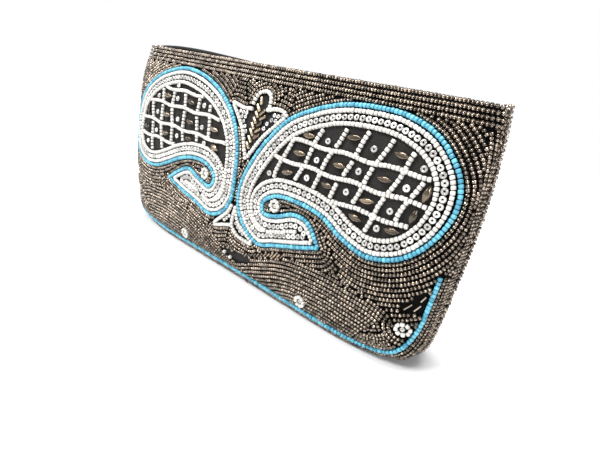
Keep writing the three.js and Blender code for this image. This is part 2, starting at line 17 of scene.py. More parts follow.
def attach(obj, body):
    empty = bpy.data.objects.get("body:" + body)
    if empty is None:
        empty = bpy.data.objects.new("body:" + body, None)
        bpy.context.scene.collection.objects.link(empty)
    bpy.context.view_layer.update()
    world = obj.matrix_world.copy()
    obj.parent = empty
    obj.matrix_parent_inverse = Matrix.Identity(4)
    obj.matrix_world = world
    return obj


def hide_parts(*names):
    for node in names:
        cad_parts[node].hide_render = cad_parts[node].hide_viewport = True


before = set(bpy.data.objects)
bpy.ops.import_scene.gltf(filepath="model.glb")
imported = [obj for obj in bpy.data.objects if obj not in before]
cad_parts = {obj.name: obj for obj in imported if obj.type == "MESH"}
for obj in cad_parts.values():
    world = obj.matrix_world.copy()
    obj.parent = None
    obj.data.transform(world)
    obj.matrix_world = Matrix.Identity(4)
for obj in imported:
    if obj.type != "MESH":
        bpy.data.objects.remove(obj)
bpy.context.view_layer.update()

bl_info = {
    "name": "Beaded velvet purse",
    "version": (1, 0, 0),
    "blender": (4, 5, 0),
    "location": "View3D > Sidebar > Purse",
    "description": "Builds a velvet pouch purse with a front of sewn glass beads",
    "category": "Object",
}

MM = 0.001
SEED = 7

# The pouch's form: horizontal sections from the mouth down to the bottom seam
SECTIONS = {
    "height": (108, 100.4, 90.3, 75.2, 58, 40, 24, 11, 3.5, 0, 0, 4.4),
    "half_width": (108, 108.7, 109.3, 109.7, 109, 107.4, 105.8, 104, 101.9, 99.8, 97.6, 95.4),
    "depth": (5.2, 8.6, 12.6, 15.8, 17.6, 19.2, 19.4, 18.4, 16.4, 14.4, 7.5, 0.2),
    "end_lift": (0, 0, 0, 0, 0, 0, 0, 0.8, 2.9, 3.9, 3.7, -0.4),
}
SEAM_Y = 2.91
SEAM_GAP = 0.3
WALL = 2
BASE = 9 / 11
END_POWER = 8
DEPTH_POWER = 4
LIFT_FROM = 0.6
BACK_FULLNESS = 0.85
BACK_RISE = 3
BACK_RISE_FROM = 10
BACK_RISE_TO = -80
BACK_RISE_FADE = 4
FRONT = -1
BACK = 1
DENTS = {
    FRONT: ((-100, 72, 12, 1.2), (-70, 26, 22, 1)),
    BACK: ((-48, 66, 34, 2.6), (40, 48, 40, 3), (86, 74, 22, 1.8)),
}

# Bead lines, seen from the front
PAISLEYS = {
    "right": (
        (55.5, 39), (43, 34.5), (30, 30.3), (19, 27), (8.5, 32.5), (2.3, 42), (2.3, 53), (7, 64.5), (15, 77),
        (25, 87.8), (38, 94.5), (51, 98.4), (66, 99.7), (80, 98.8), (94, 93.6), (103.3, 83.5), (105.3, 71.5),
        (101, 58.5), (92, 48.8), (79, 44.6), (66, 47.4), (54, 52.8), (40, 54.5), (27, 53.5), (19.3, 48.5),
        (20.5, 43.3), (28, 44), (39, 48.4), (48, 47.2), (55.5, 39),
    ),
    "left": (
        (-59.7, 38.8), (-47, 35.3), (-33, 32.8), (-20, 29.7), (-9, 34.2), (-3.4, 43), (-3.1, 55), (-5, 70),
        (-11, 81), (-20, 88.7), (-31, 94.2), (-45, 98), (-60, 99.4), (-73, 97), (-86, 91.2), (-96.5, 82),
        (-102.5, 70.5), (-102.5, 58), (-97, 47), (-86, 41.5), (-74, 42.3), (-62, 47), (-50, 52.3),
        (-38, 55.4), (-26, 55), (-18.6, 50), (-22, 44), (-32, 46), (-43, 48.3), (-59.7, 38.8),
    ),
}
LATTICE_HEIGHT = 70
LATTICES = {
    "right": {
        "side": 1, "slope": 0.36, "levels": (80.3, 70.5, 61),
        "slanted": ((25.8, 0), (38.1, 0), (48.2, 0), (58.8, 0), (69.3, 0), (80.6, 0), (89.3, 62)),
    },
    "left": {
        "side": -1, "slope": 0.15, "levels": (87.6, 79, 68, 58.5),
        "slanted": ((28.5, 0), (38.8, 0), (51.2, 0), (62.5, 0), (73, 0), (83, 0)),
    },
}
OVALS = {
    "right": (
        (38, 83.3, 12), (60, 87.1, 6), (82.1, 85.5, -6), (35.2, 75.3, 2), (56.7, 75.4, 3), (78.1, 75.5, 3),
        (95.2, 74.8, 84), (30.6, 65.6, 12), (53.3, 66.1, 3), (73.2, 65.7, 4), (92.8, 65.9, 68),
        (69.9, 57.8, -6), (86.2, 58, 12),
    ),
    "left": (
        (-47.5, 83.2, -4), (-70, 83.4, -2), (-24.2, 73.4, -8), (-45, 73.2, -4), (-68.2, 73.2, 2),
        (-21.6, 64.6, -10), (-44.6, 64.5, 4), (-67, 62.8, 2), (-88.3, 62.8, 4), (-88.5, 73, 84),
    ),
}
WINDOW_RINGS = {
    "right": (
        (48.1, 83.2), (70, 85.1), (91.4, 83), (45, 74.6), (66.3, 75.5), (87.4, 74.9), (19.6, 62.4),
        (41.8, 66.3), (62.9, 66.3), (83.6, 64.9), (80, 56.8),
    ),
    "left": (
        (-79.5, 82), (-60.5, 83.3), (-36, 83.3), (-78, 73), (-57, 72.5), (-34.5, 72.5), (-77.5, 62.5),
        (-56, 63.4), (-31, 64.8), (-86, 54.3), (-62.5, 90),
    ),
}
TULIP = {
    "left_petal": (
        (0, 88.1), (-6, 87.6), (-14, 88.6), (-8.5, 83.2), (-3.6, 77.5), (-1.4, 73), (0.5, 68.5), (2.3, 64.3),
    ),
    "leaf": ((0, 88.1), (-0.7, 90.5), (1, 95), (5, 96.7), (8.8, 95.2), (10.4, 91.5), (9.4, 88.2)),
    "right_petal": (
        (9.4, 88.2), (13, 90), (18, 90.3), (22, 88.6), (18, 84.3), (11, 77), (6.4, 70.5), (2.3, 64.3),
    ),
}
TULIP_RINGS = (
    (19.4, 88.1), (17, 87.6), (14.6, 87.6), (16.2, 85.4), (13.6, 85.2), (11.4, 83.2), (10, 80.8),
    (-10.6, 86.5), (-8.2, 85.8), (-5.9, 85.6), (-3.6, 85.8), (-6.4, 83.4), (-4.4, 81.5), (-3.8, 83.7),
    (-2.7, 79.4), (-1.4, 77.2),
)

# Tube beads, each from one end to the other
GOLD_BUGLES = (
    (2, 90.5, 4.7, 87.7), (2.2, 87.4, 4.8, 84.6), (1.8, 84.5, 4.3, 81.8), (1.4, 82, 4, 79.2),
    (1.3, 79, 4, 76.2), (1.2, 75.8, 3.8, 73), (0.8, 72.5, 3.3, 69.8), (3, 94, 4.8, 90.6),
)
BROWN_BUGLES = (
    (5.4, 86, 8, 88.8), (6.3, 84, 9.3, 86.5), (5.2, 80.8, 8, 83.2), (4.8, 78.2, 8.2, 80.3),
    (5, 75.2, 8.2, 77.7),
)
HEM_BUGLES = ((98, 29.2, 100.2, 32.4), (101.2, 29.8, 103, 32.7), (102.6, 34.2, 103.8, 36.8))

# Places on the front where the velvet is left bare
HEM_BARE = ((96, 29.2), (98, 32.6), (100.6, 35.8), (103.4, 39), (105.2, 34), (104.3, 29.8), (99.6, 28))
CRESCENT = ((-11, 14), (-3, 15.3), (2, 15.5), (8, 17), (14, 16.5), (14, 13.5), (8, 11), (2, 10), (-4, 11))

# More bead lines and places, seen from the front
PETALS = (
    (
        (0.8, 40.2), (3, 33.6), (6.5, 30.6), (11, 28.1), (14.7, 26), (13.5, 24.8), (7, 25), (3.3, 25.8),
        (-0.8, 30),
    ),
    ((-2, 40.2), (-5, 35.2), (-9.5, 31), (-14.2, 26.8), (-14, 25.2), (-8, 27.3), (-2.5, 29), (0.2, 30)),
)
HEM = (
    (106, 46), (104.9, 34), (103.8, 24), (101.2, 14.5), (96.6, 8.2), (88, 5.2), (70, 4), (45, 4.1), (22, 4.6),
    (0, 4.8),
)
DAISIES = {
    "daisy_corner_right": (99, 20.6),
    "daisy_corner_left": (-99, 20.6),
    "daisy_hem_right": (49.3, 9.1),
    "daisy_hem_left": (-42.6, 9.3),
    "daisy_hook_right": (26.6, 48.6),
    "daisy_hook_left": (-26.8, 49.6),
}
WAVE = (
    (0, 13), (10, 17), (20, 21), (30, 25), (42, 28), (60, 29.5), (75, 29), (85, 28), (93, 25), (97, 19),
)

# Beads sewn by hand: how far their size, lean and place wander
SIZE_SPREAD = 0.035
SIZE_RANGE = (0.88, 1.1)
LEAN_SPREAD = 0.06
PLACE_SPREAD = 0.045

# How near beads may come, as a share of the distance at which they touch
CLOSE = 0.9
CLOSER = 0.86
PETAL_CLOSENESS = 0.8
TULIP_CLOSENESS = 0.75
TAIL_CLOSENESS = 0.72
STRING_CLOSENESS = 0.5

# Rows of beads
CURVE_STEPS = 40
ROW_STEP = 0.4
ROW_SPACING = 2
FILL_STEP = 0.5
ROW_ROUNDS = ((ROW_SPACING, CLOSE), (FILL_STEP, CLOSER))
FAN_STEP = 0.03
FAN_ROOM = 0.3
SHORTEST_RUN = 2
SHORTEST_FILL = 1
THREAD = 0.12
RING_RISE = 0.38
STICK_MARKS = (-0.3, 0, 0.3)
FLOOR_ROOM = 1.28

# The paisleys' bands and windows
WHITE_ROW = 2.2
RING_ROW = 4.75
INNER_ROW = 7.3
TAIL_ROWS = (7, 6.5, 6, 5.6, 9.4, 9.9)
TAIL_TOP = 47
WINDOW_MARGIN = 8.6
WINDOW_FLOOR = 49
LATTICE_REACH = 110
LATTICE_LOW = 40
LATTICE_SWAY = 0.45
SWAY_STEP = 0.11
SWAY_START = 2.1

# The flowers
PETAL_RING_ROW = 2.1
DAISY_BEADS = 8
DAISY_RADIUS = 2.35
DAISY_TURN = 10

# The ground
UPPER_GROUND = 68
TOP_ROWS = 4
TOP_ROW_SPACING = 2.15
TOP_ROW_FIRST = 0.4
TOP_ROW_REACH = 130
TOP_ROW_POINTS = 800
EDGE_ROWS = (1.6, 3.6, 5.6)
SIDE_REACH = 14
HEM_OUTER_ROWS = (-2.1, -4.1, -6.1, -8.1)
HEM_REACH = 16
ECHO_FIRST = 2.1
ECHO_REACH = 44
WAVE_FIRST = 1
WAVE_REACH = 30
WAVE_GAP = 0.2
WAVE_BUGLES = 12
WAVE_BUGLES_FROM = 11
WAVE_BUGLES_STEP = 2.25
WAVE_BUGLE_HALF = (0.9, 1.2)
DAISY_FIRST = 5.2
DAISY_REACH = 9
RING_POINTS = 90
WHITE_DOTS = ((-5.5, 12.5), (-1, 11))

# The whipped edge and the knobs at its two ends
ROPE_REACH = 1.4
ROPE_PITCH = 1.6
ROPE_COIL_RADIUS = 0.8
ROPE_BEAD = 0.95
ROPE_SIDE_POINTS = 160
ROPE_BOTTOM_POINTS = 60
ROPE_BOTTOM_FROM = 0.97
ROPE_SMOOTHINGS = 3
ROPE_STEP = 0.25
ROPE_AHEAD = 0.5
KNOB_BEADS = 9
KNOB_RADIUS = 1.4
KNOB_INWARD = 0.8
KNOB_DROP = 1
KNOB_CAP = 0.8

# Cells of the front that list the beads in them
CELL = 3
CELL_COLUMNS = 90
CELL_ROWS = 50
CELL_ROOM = 60
CELL_LEFT = 130
CELL_BELOW = 10

# The forms of the beads, for a diameter of 1
SEED_ROUNDING = 0.22
CUT_ROUNDING = 0.13
BUGLE_ROUNDING = 0.06
TUBE_SIDES = 8
BUGLE_SIDES = 10
RING_RADIUS = 0.305
RING_THICKNESS = 0.195
RING_SHAPING = (1.05, 1.05, 0.86)
OVAL_GROOVE = 0.28

# How finely places and lines are worked out
HALVINGS = 24
POINTS_AT_ONCE = 512
LEAST_POINTS = 3
BESIDE_ROOM = 0.03
AHEAD = 0.3

# The front's flat chart
CHART_ROWS = 181
CHART_COLUMNS = 401
TURN_CROWDING = 4
CHART_ROUNDS = 14
CHART_MISS = 0.1

# The velvet walls
# How far the painted shade under the beads fades in at the edges of the bare velvet, in millimetres
BEAD_SHADE_FADE = 3
BAND_MARGIN = 5
CRESCENT_MARGIN = -1
PANEL_COLUMNS = 100
PANEL_ROWS = 50
COLUMN_CROWDING = 2.3
SEAM_MARGIN = 0.5

# Puckers beside the seams: their depth and pitch on each wall, how they wander, and where they fade
PUCKERS = {FRONT: (0.22, 5.5), BACK: (0.7, 17)}
PUCKER_WANDER = 1.5
WANDER_LENGTH = 9
SIDE_SEAM_FROM = 0.9
SIDE_SEAM_LENGTH = 100
BOTTOM_SEAM_HALF = 110
SIDE_FADE = (0.75, 0.2)
BOTTOM_FADE = (0.55, 0.3)
END_FADE = 0.2

# The lamps: place, width and power
LAMPS = {
    "key": ((-0.35, -0.75, 1.0), 0.45, 20),
    "fill": ((0.9, -0.6, 0.5), 0.3, 4),
    "top": ((0, 0.1, 1.5), 0.8, 36),
}
LAMP_AIM = (0, 0, 0.05)


# The form of the pouch


def smooth(share):
    """An S curve from 0 to 1."""
    clamped = np.clip(share, 0, 1)
    return clamped * clamped * (3 - 2 * clamped)


def between(before, here, after, beyond, share):
    """A share of the way from here to after, on a smooth curve that also heeds the values beside them."""
    leaving = (after - before) / 2
    arriving = (beyond - here) / 2
    cubic = 2 * here - 2 * after + leaving + arriving
    square = -3 * here + 3 * after - 2 * leaving - arriving
    return ((cubic * share + square) * share + leaving) * share + here


def spline(column, t):
    """A column of the sections at the share t of the way down, as a smooth curve through its rows."""
    values = np.asarray(SECTIONS[column], float)
    last = len(values) - 1
    place = np.clip(t, 0, 1) * last
    row = np.minimum(place.astype(int), last - 1)
    before = values[np.maximum(row - 1, 0)]
    beyond = values[np.minimum(row + 2, last)]
    return between(before, values[row], values[row + 1], beyond, place - row)


def fullness(u):
    """How far a section stands out, from 1 at the middle to 0 at the seam."""
    return np.maximum(0, 1 - np.abs(u) ** END_POWER) ** (1 / DEPTH_POWER)


def end_lift(u):
    """How far a section turns up, from 0 at the middle to 1 at the seam."""
    return smooth((np.abs(u) - LIFT_FROM) / (1 - LIFT_FROM))


def wall(t, u, lift, side):
    """Points of a wall in millimetres: t from mouth to bottom, u from seam to seam, lift above the velvet."""
    t = np.asarray(t, float)
    u = np.asarray(u, float)
    step = 1e-4
    down = spline("height", t + step) - spline("height", t - step)
    out = spline("depth", t + step) - spline("depth", t - step)
    length = np.maximum(1e-9, np.hypot(down, out))
    full = 1 if side == FRONT else BACK_FULLNESS
    x = u * (spline("half_width", t) + lift)
    z = np.maximum(0, spline("height", t)) + out / length * lift + spline("end_lift", t) * end_lift(u)
    if side == BACK:
        rise = smooth((BACK_RISE_FROM - x) / (BACK_RISE_FROM - BACK_RISE_TO))
        z = z + BACK_RISE * rise * fullness(u) * np.maximum(0, 1 - t / BASE) ** BACK_RISE_FADE
    dent = sum(
        depth * np.exp(-((x - dent_x) ** 2 + (z - dent_z) ** 2) / radius**2)
        for dent_x, dent_z, radius, depth in DENTS[side]
    )
    depth = (spline("depth", t) * full - down / length * lift - dent * fullness(u)) * fullness(u)
    y = side * np.maximum(SEAM_GAP / 2, depth) + SEAM_Y
    return np.stack(np.broadcast_arrays(x, y, z), axis=-1)


def crowded(v):
    """Shares from seam to seam for even steps along the velvet, which crowd where it turns to the seams."""
    return np.sign(v) * (1 - (1 - np.minimum(1, np.abs(v))) ** TURN_CROWDING)


def shares_of(points):
    """Shares down and across the front of the points seen at x, z from the front."""
    x, z = points[:, 0], points[:, 1]
    low = np.zeros(len(x))
    high = np.full(len(x), BASE)
    for _ in range(HALVINGS):
        middle = (low + high) / 2
        share = x / spline("half_width", middle)
        level = np.maximum(0, spline("height", middle)) + spline("end_lift", middle) * end_lift(share)
        low = np.where(level > z, middle, low)
        high = np.where(level > z, high, middle)
    u = np.clip(x / spline("half_width", low), -1, 1)
    return np.stack([low, np.sign(u) * (1 - (1 - np.abs(u)) ** (1 / TURN_CROWDING))], axis=1)


def front(shares):
    """Points of the front velvet at shares down and across, in millimetres."""
    return wall(shares[..., 0], crowded(shares[..., 1]), 0, FRONT)


def front_normals(shares):
    """Normals of the front velvet at shares down and across."""
    step = 1e-3
    across = front(shares + (0, step)) - front(shares - (0, step))
    upward = front(shares - (step, 0)) - front(shares + (step, 0))
    return unit(np.cross(across, upward))


@functools.lru_cache(maxsize=1)
def front_chart():
    """For a grid of shares: how far right and up they lie on the flat chart, and how fast both change."""
    t = np.linspace(0, BASE, CHART_ROWS)
    v = np.linspace(-1, 1, CHART_COLUMNS)
    grid = front(np.stack(np.meshgrid(t, v, indexing="ij"), axis=-1))
    right = np.zeros((CHART_ROWS, CHART_COLUMNS))
    right[:, 1:] = np.cumsum(np.linalg.norm(np.diff(grid, axis=1), axis=2), axis=1)
    right -= right[:, CHART_COLUMNS // 2:CHART_COLUMNS // 2 + 1]
    up = np.zeros((CHART_ROWS, CHART_COLUMNS))
    up[1:] = -np.cumsum(np.linalg.norm(np.diff(grid, axis=0), axis=2), axis=0)
    return np.stack([right, up, np.gradient(right, v, axis=1), np.gradient(up, t, axis=0)], axis=2)


def charted(shares):
    """The chart's values at shares of the front."""
    chart = front_chart()
    row = np.clip(shares[:, 0] / BASE, 0, 1) * (CHART_ROWS - 1)
    column = (np.clip(shares[:, 1], -1, 1) + 1) / 2 * (CHART_COLUMNS - 1)
    a = np.minimum(row.astype(int), CHART_ROWS - 2)
    b = np.minimum(column.astype(int), CHART_COLUMNS - 2)
    down = (row - a)[:, None]
    over = (column - b)[:, None]
    upper = chart[a, b] * (1 - over) + chart[a, b + 1] * over
    lower = chart[a + 1, b] * (1 - over) + chart[a + 1, b + 1] * over
    return upper * (1 - down) + lower * down


def unrolled(points):
    """Places on the flat chart of points seen from the front."""
    return charted(shares_of(points))[:, :2]


def rolled(flat):
    """Shares of the front at places on the flat chart, and which of the places lie on it."""
    shares = np.tile((BASE / 2, 0.0), (len(flat), 1))
    for _ in range(CHART_ROUNDS):
        here = charted(shares)
        gap = flat - here[:, :2]
        shares = shares + np.stack([gap[:, 1] / here[:, 3], gap[:, 0] / here[:, 2]], axis=1)
        shares = np.clip(shares, (0, -1), (BASE, 1))
    miss = np.linalg.norm(flat - charted(shares)[:, :2], axis=1)
    return shares, miss < CHART_MISS


def unit(vectors):
    """The vectors at length 1."""
    return vectors / np.maximum(1e-9, np.linalg.norm(vectors, axis=-1, keepdims=True))


def laid_flat(vectors, normals):
    """The vectors turned square to the normals, at length 1."""
    return unit(vectors - normals * np.sum(vectors * normals, axis=1, keepdims=True))


def front_frames(points, directions):
    """Places, directions along the velvet and normals for points and directions seen from the front."""
    step = 0.2
    shares = shares_of(points)
    normals = front_normals(shares)
    along = front(shares_of(points + directions * step)) - front(shares_of(points - directions * step))
    return front(shares), laid_flat(along, normals), normals


# Lines seen from the front


def curve(points, step=ROW_STEP, closed=False):
    """A smooth line through points seen from the front, in even steps."""
    points = np.asarray(points, float)
    before = np.vstack([points[:1], points[:-2]])
    beyond = np.vstack([points[2:], points[-1:]])
    marks = np.linspace(0, 1, CURVE_STEPS, endpoint=False)
    dense = [between(before, points[:-1], points[1:], beyond, share) for share in marks]
    line = np.vstack([np.stack(dense, axis=1).reshape(-1, 2), points[-1:]])
    line = evenly(line, step)
    return line[:-1] if closed else line


def closed_curve(points):
    """A smooth outline through points seen from the front, back to the first of them."""
    return curve([*points, points[0]], closed=True)


def travelled(line):
    """How far along a line each of its points lies."""
    return np.concatenate([[0], np.cumsum(np.linalg.norm(np.diff(line, axis=0), axis=1))])


def points_at(marks, lengths, line):
    """Points of a line at marks, where its own points lie at the given lengths."""
    return np.stack([np.interp(marks, lengths, line[:, k]) for k in range(line.shape[1])], axis=1)


def evenly(line, step):
    """A line cut into even steps of about the given length."""
    lengths = travelled(line)
    count = max(1, round(lengths[-1] / step))
    return points_at(np.linspace(0, lengths[-1], count + 1), lengths, line)


def line_distance(line, points, closed):
    """How far points are from a line."""
    ends = np.roll(line, -1, axis=0) if closed else line[1:]
    starts = line if closed else line[:-1]
    reach = ends - starts
    size = np.maximum(1e-9, np.sum(reach * reach, axis=1))
    best = np.full(len(points), np.inf)
    for k in range(0, len(points), POINTS_AT_ONCE):
        part = points[k:k + POINTS_AT_ONCE]
        away = part[:, None] - starts[None]
        share = np.clip(np.sum(away * reach, axis=2) / size, 0, 1)
        gap = away - share[..., None] * reach
        best[k:k + POINTS_AT_ONCE] = np.sqrt(np.min(np.sum(gap * gap, axis=2), axis=1))
    return best


def line_directions(line, closed):
    """Unit directions along a line at each of its points."""
    if closed:
        return unit(np.roll(line, -1, axis=0) - np.roll(line, 1, axis=0))
    padded = np.vstack([line[:1], line, line[-1:]])
    return unit(padded[2:] - padded[:-2])


def fanned(line, closed):
    """Points of a line and the directions to its right-hand side there, fanned out round its corners."""
    ahead = line_directions(line, closed)
    if closed:
        line = np.vstack([line, line[:1]])
        ahead = np.vstack([ahead, ahead[:1]])
    angle = np.unwrap(np.arctan2(ahead[:, 1], ahead[:, 0]))
    counts = 1 + (np.abs(np.diff(angle)) / FAN_STEP).astype(int)
    marks = np.concatenate([k + np.arange(count) / count for k, count in enumerate(counts)])
    order = np.arange(len(line))
    turned = np.interp(marks, order, angle)
    return points_at(marks, order, line), np.stack([np.sin(turned), -np.cos(turned)], axis=1)


def is_inside(outline, points):
    """Which points lie inside a closed outline."""
    starts, ends = outline, np.roll(outline, -1, axis=0)
    x, z = points[:, :1], points[:, 1:]
    spans = (starts[:, 1] > z) != (ends[:, 1] > z)
    rise = ends[:, 1] - starts[:, 1]
    reach = (ends[:, 0] - starts[:, 0]) / np.where(rise == 0, 1e-9, rise)
    crossing = starts[:, 0] + (z - starts[:, 1]) * reach
    return np.sum(spans & (x < crossing), axis=1) % 2 == 1


def stretches(keep):
    """The starts and ends of the unbroken stretches where keep holds."""
    edges = np.flatnonzero(np.diff(np.concatenate([[0], keep.astype(int), [0]])))
    return zip(edges[::2], edges[1::2])


def runs(line, keep, closed=False):
    """The unbroken stretches of a line where keep holds, and whether each is the whole closed line."""
    if keep.all():
        return [(line, closed)]
    if closed:
        start = int(np.argmin(keep))
        line, keep = np.roll(line, -start, axis=0), np.roll(keep, -start)
    return [(line[a:b], False) for a, b in stretches(keep) if b - a >= LEAST_POINTS]


def beside(line, amount, closed=False):
    """The stretches of the line that runs beside another at the given distance, to its right-hand side."""
    ahead = line_directions(line, closed)
    moved = line + np.stack([ahead[:, 1], -ahead[:, 0]], axis=1) * amount
    clear = line_distance(line, moved, closed) > abs(amount) - BESIDE_ROOM
    return runs(moved, clear, closed)


def inner_sign(outline):
    """1 where the inner side of a closed outline is to its right, and -1 where it is to its left."""
    ends = np.roll(outline, -1, axis=0)
    return 1 if np.sum(outline[:, 0] * ends[:, 1] - ends[:, 0] * outline[:, 1]) < 0 else -1


def mirrored(points):
    """Points mirrored to the other side of the front, in the opposite order."""
    return [(-x, z) for x, z in reversed(points)]


def nearest(tree, points):
    """How far points seen from the front are from the nearest point of a search tree."""
    return np.array([tree.find((x, 0, z))[2] for x, z in points])


def search_tree(lines):
    """A search tree of points on lines seen from the front."""
    points = np.vstack([evenly(line, ROW_STEP / 2) for line in lines])
    tree = KDTree(len(points))
    for k, (x, z) in enumerate(points):
        tree.insert((x, 0, z), k)
    tree.balance()
    return tree


# Beads in rows


class BeadLayout:
    """Beads laid row by row, each row keeping clear of the rows before it."""

    def __init__(self, random):
        self.random = random
        self.pieces = {}
        self.centres = np.zeros((0, 3))
        self.radii = np.zeros(0)
        self.cells = np.full((CELL_COLUMNS, CELL_ROWS, CELL_ROOM), -1)
        self.counts = np.zeros((CELL_COLUMNS, CELL_ROWS), int)

    def cell_of(self, centres):
        """The cells of the front that places lie in."""
        column = np.clip(((centres[:, 0] + CELL_LEFT) / CELL).astype(int), 1, CELL_COLUMNS - 2)
        row = np.clip(((centres[:, 2] + CELL_BELOW) / CELL).astype(int), 1, CELL_ROWS - 2)
        return column, row

    def free(self, centres, radius, closeness):
        """Which places are clear of the beads laid so far."""
        if not len(self.centres) or not len(centres):
            return np.ones(len(centres), bool)
        column, row = self.cell_of(centres)
        near = [self.cells[column + a, row + b] for a in (-1, 0, 1) for b in (-1, 0, 1)]
        near = np.concatenate(near, axis=1)
        gaps = np.linalg.norm(centres[:, None] - self.centres[near], axis=2)
        return np.all((gaps > closeness * (self.radii[near] + radius)) | (near < 0), axis=1)

    def take(self, centres, radius):
        """Marks places as taken."""
        first = len(self.centres)
        self.centres = np.vstack([self.centres, centres])
        self.radii = np.concatenate([self.radii, np.full(len(centres), radius)])
        for k, (column, row) in enumerate(zip(*self.cell_of(centres))):
            slot = self.counts[column, row]
            self.cells[column, row, slot] = first + k
            self.counts[column, row] = slot + 1

    def add(self, piece, form, centres, along, normals, size):
        """Adds beads to a piece: form is the kind of bead, size its length and diameter."""
        count = len(centres)
        if not count:
            return
        spread = self.random.normal(1, SIZE_SPREAD, (count, 2)).clip(*SIZE_RANGE)
        tones = self.random.random(count)
        along = laid_flat(along + self.random.normal(0, LEAN_SPREAD, (count, 3)), normals)
        centres = centres + self.random.normal(0, PLACE_SPREAD, (count, 3))
        self.pieces.setdefault(piece, []).append(
            {"form": form, "centres": centres, "along": along, "normals": normals,
             "size": np.asarray(size) * spread, "tones": tones}
        )

    def lay(self, piece, line, closed, bead, closeness=CLOSE):
        """Lays a row of beads along a line seen from the front, wherever there is room."""
        if len(line) > 1:
            path = np.vstack([line, line[:1]]) if closed else line
            self.lay_row(piece, shares_of(path), bead, closeness)

    def lay_row(self, piece, shares, bead, closeness=CLOSE):
        """Lays a row of beads along shares of the front, wherever there is room."""
        lengths = travelled(front(shares))
        count = int(lengths[-1] / bead["pitch"])
        if not count:
            return
        marks = (np.arange(count) + 0.5) * lengths[-1] / count
        here, ahead, behind = (points_at(marks + shift, lengths, shares) for shift in (0, AHEAD, -AHEAD))
        normals = front_normals(here)
        along = laid_flat(front(ahead) - front(behind), normals)
        self.settle(piece, front(here), along, normals, bead, closeness)

    def settle(self, piece, foot, along, normals, bead, closeness):
        """Stands a row of beads on the velvet where there is room for at least a short run."""
        radius = bead["diameter"] / 2
        centres = foot + normals * bead["rise"]
        keep = self.free(centres, radius, closeness) & (centres[:, 2] > FLOOR_ROOM * radius)
        shortest = SHORTEST_FILL if closeness == CLOSER else SHORTEST_RUN
        for a, b in stretches(keep):
            if b - a < shortest:
                keep[a:b] = False
        self.stand(piece, centres[keep], along[keep], normals[keep], bead)

    def stand(self, piece, centres, along, normals, bead):
        """Adds beads of one kind to a piece and marks their places as taken."""
        self.add(piece, bead["form"], centres, along, normals, (bead["length"], bead["diameter"]))
        self.take(centres, bead["diameter"] / 2)

    def place(self, piece, points, turns, bead, closeness=0):
        """Stands single beads at points seen from the front, turned from level by degrees."""
        points = np.asarray(points, float)
        angles = np.radians(np.asarray(turns, float))
        foot, along, normals = front_frames(points, np.stack([np.cos(angles), np.sin(angles)], axis=1))
        centres = foot + normals * bead["rise"]
        keep = self.free(centres, bead["diameter"] / 2, closeness)
        self.stand(piece, centres[keep], along[keep], normals[keep], bead)

    def stand_sticks(self, piece, sticks, bead):
        """Lays tube beads between pairs of points seen from the front."""
        sticks = np.asarray(sticks, float)
        reach = sticks[:, 2:] - sticks[:, :2]
        foot, along, normals = front_frames((sticks[:, :2] + sticks[:, 2:]) / 2, unit(reach))
        centres = foot + normals * bead["rise"]
        size = np.stack([np.linalg.norm(reach, axis=1), np.full(len(sticks), bead["diameter"])], axis=1)
        self.add(piece, bead["form"], centres, along, normals, size)
        for share in STICK_MARKS:
            self.take(centres + along * size[:, :1] * share, bead["diameter"] / 2)


def wave_height(x):
    """The height of the dark wave under the paisleys."""
    line = curve(WAVE, 1)
    return np.interp(np.abs(x), line[:, 0], line[:, 1])


def hem_line():
    """The hem's line from right to left."""
    return curve(list(HEM) + mirrored(HEM[:-1]))


def lay_beside(layout, piece, outline, amount, bead, closeness):
    """Rows of beads inside a closed outline, at a distance from it."""
    for line, closed in beside(outline, inner_sign(outline) * amount, True):
        layout.lay(piece, line, closed, bead, closeness)


def lay_paisley(layout, name, beads):
    """The blue outline, the white rows and rings inside it, and the lattice across its window."""
    outline = curve(PAISLEYS[name], closed=True)
    white_rows = f"band_{name}_beads"
    layout.lay(f"outline_{name}_beads", outline, True, beads["blue"], 0)
    lay_beside(layout, white_rows, outline, WHITE_ROW, beads["white"], CLOSER)
    lay_beside(layout, f"band_{name}_rings", outline, RING_ROW, beads["ring"], CLOSER)
    lay_beside(layout, white_rows, outline, INNER_ROW, beads["white"], CLOSER)
    for amount in TAIL_ROWS:
        for line, closed in beside(outline, inner_sign(outline) * amount, True):
            for part, whole in runs(line, line[:, 1] < TAIL_TOP, closed):
                layout.lay(white_rows, part, whole, beads["white"], TAIL_CLOSENESS)
    lay_window(layout, name, outline, beads)
    return outline


def lay_window(layout, name, outline, beads):
    """The lattice of strings across a velvet window, with a bead in each of its cells."""
    lattice = LATTICES[name]
    side = lattice["side"]
    lines = [np.array([(0, z), (side * LATTICE_REACH, z)]) for z in lattice["levels"]]
    for x, low in lattice["slanted"]:
        heights = np.array((max(low, LATTICE_LOW), LATTICE_REACH))
        places = x + (heights - LATTICE_HEIGHT) * lattice["slope"]
        lines.append(np.stack([side * places, heights], axis=1))
    for k, line in enumerate(lines):
        path = evenly(line, ROW_STEP)
        window = is_inside(outline, path) & (line_distance(outline, path, True) > WINDOW_MARGIN)
        window &= path[:, 1] > WINDOW_FLOOR
        parts = [part for part, _ in runs(path, window)]
        if parts:
            longest = max(parts, key=len)
            aside = line_directions(longest, False)[:, ::-1] * (-1, 1)
            sway = np.sin(np.arange(len(longest)) * SWAY_STEP + SWAY_START * k) * LATTICE_SWAY
            string = longest + aside * sway[:, None]
            layout.lay(f"lattice_{name}_beads", string, False, beads["white"], STRING_CLOSENESS)
    ovals = np.array(OVALS[name])
    layout.place(f"oval_{name}_beads", ovals[:, :2], ovals[:, 2], beads["oval"])
    rings = WINDOW_RINGS[name]
    layout.place(f"lattice_{name}_rings", rings, np.zeros(len(rings)), beads["window_ring"])


def tulip_outline():
    """The closed outline of the tulip."""
    left, leaf, right = (curve(TULIP[name]) for name in ("left_petal", "leaf", "right_petal"))
    return np.vstack([leaf, right[1:], left[-2:0:-1]])


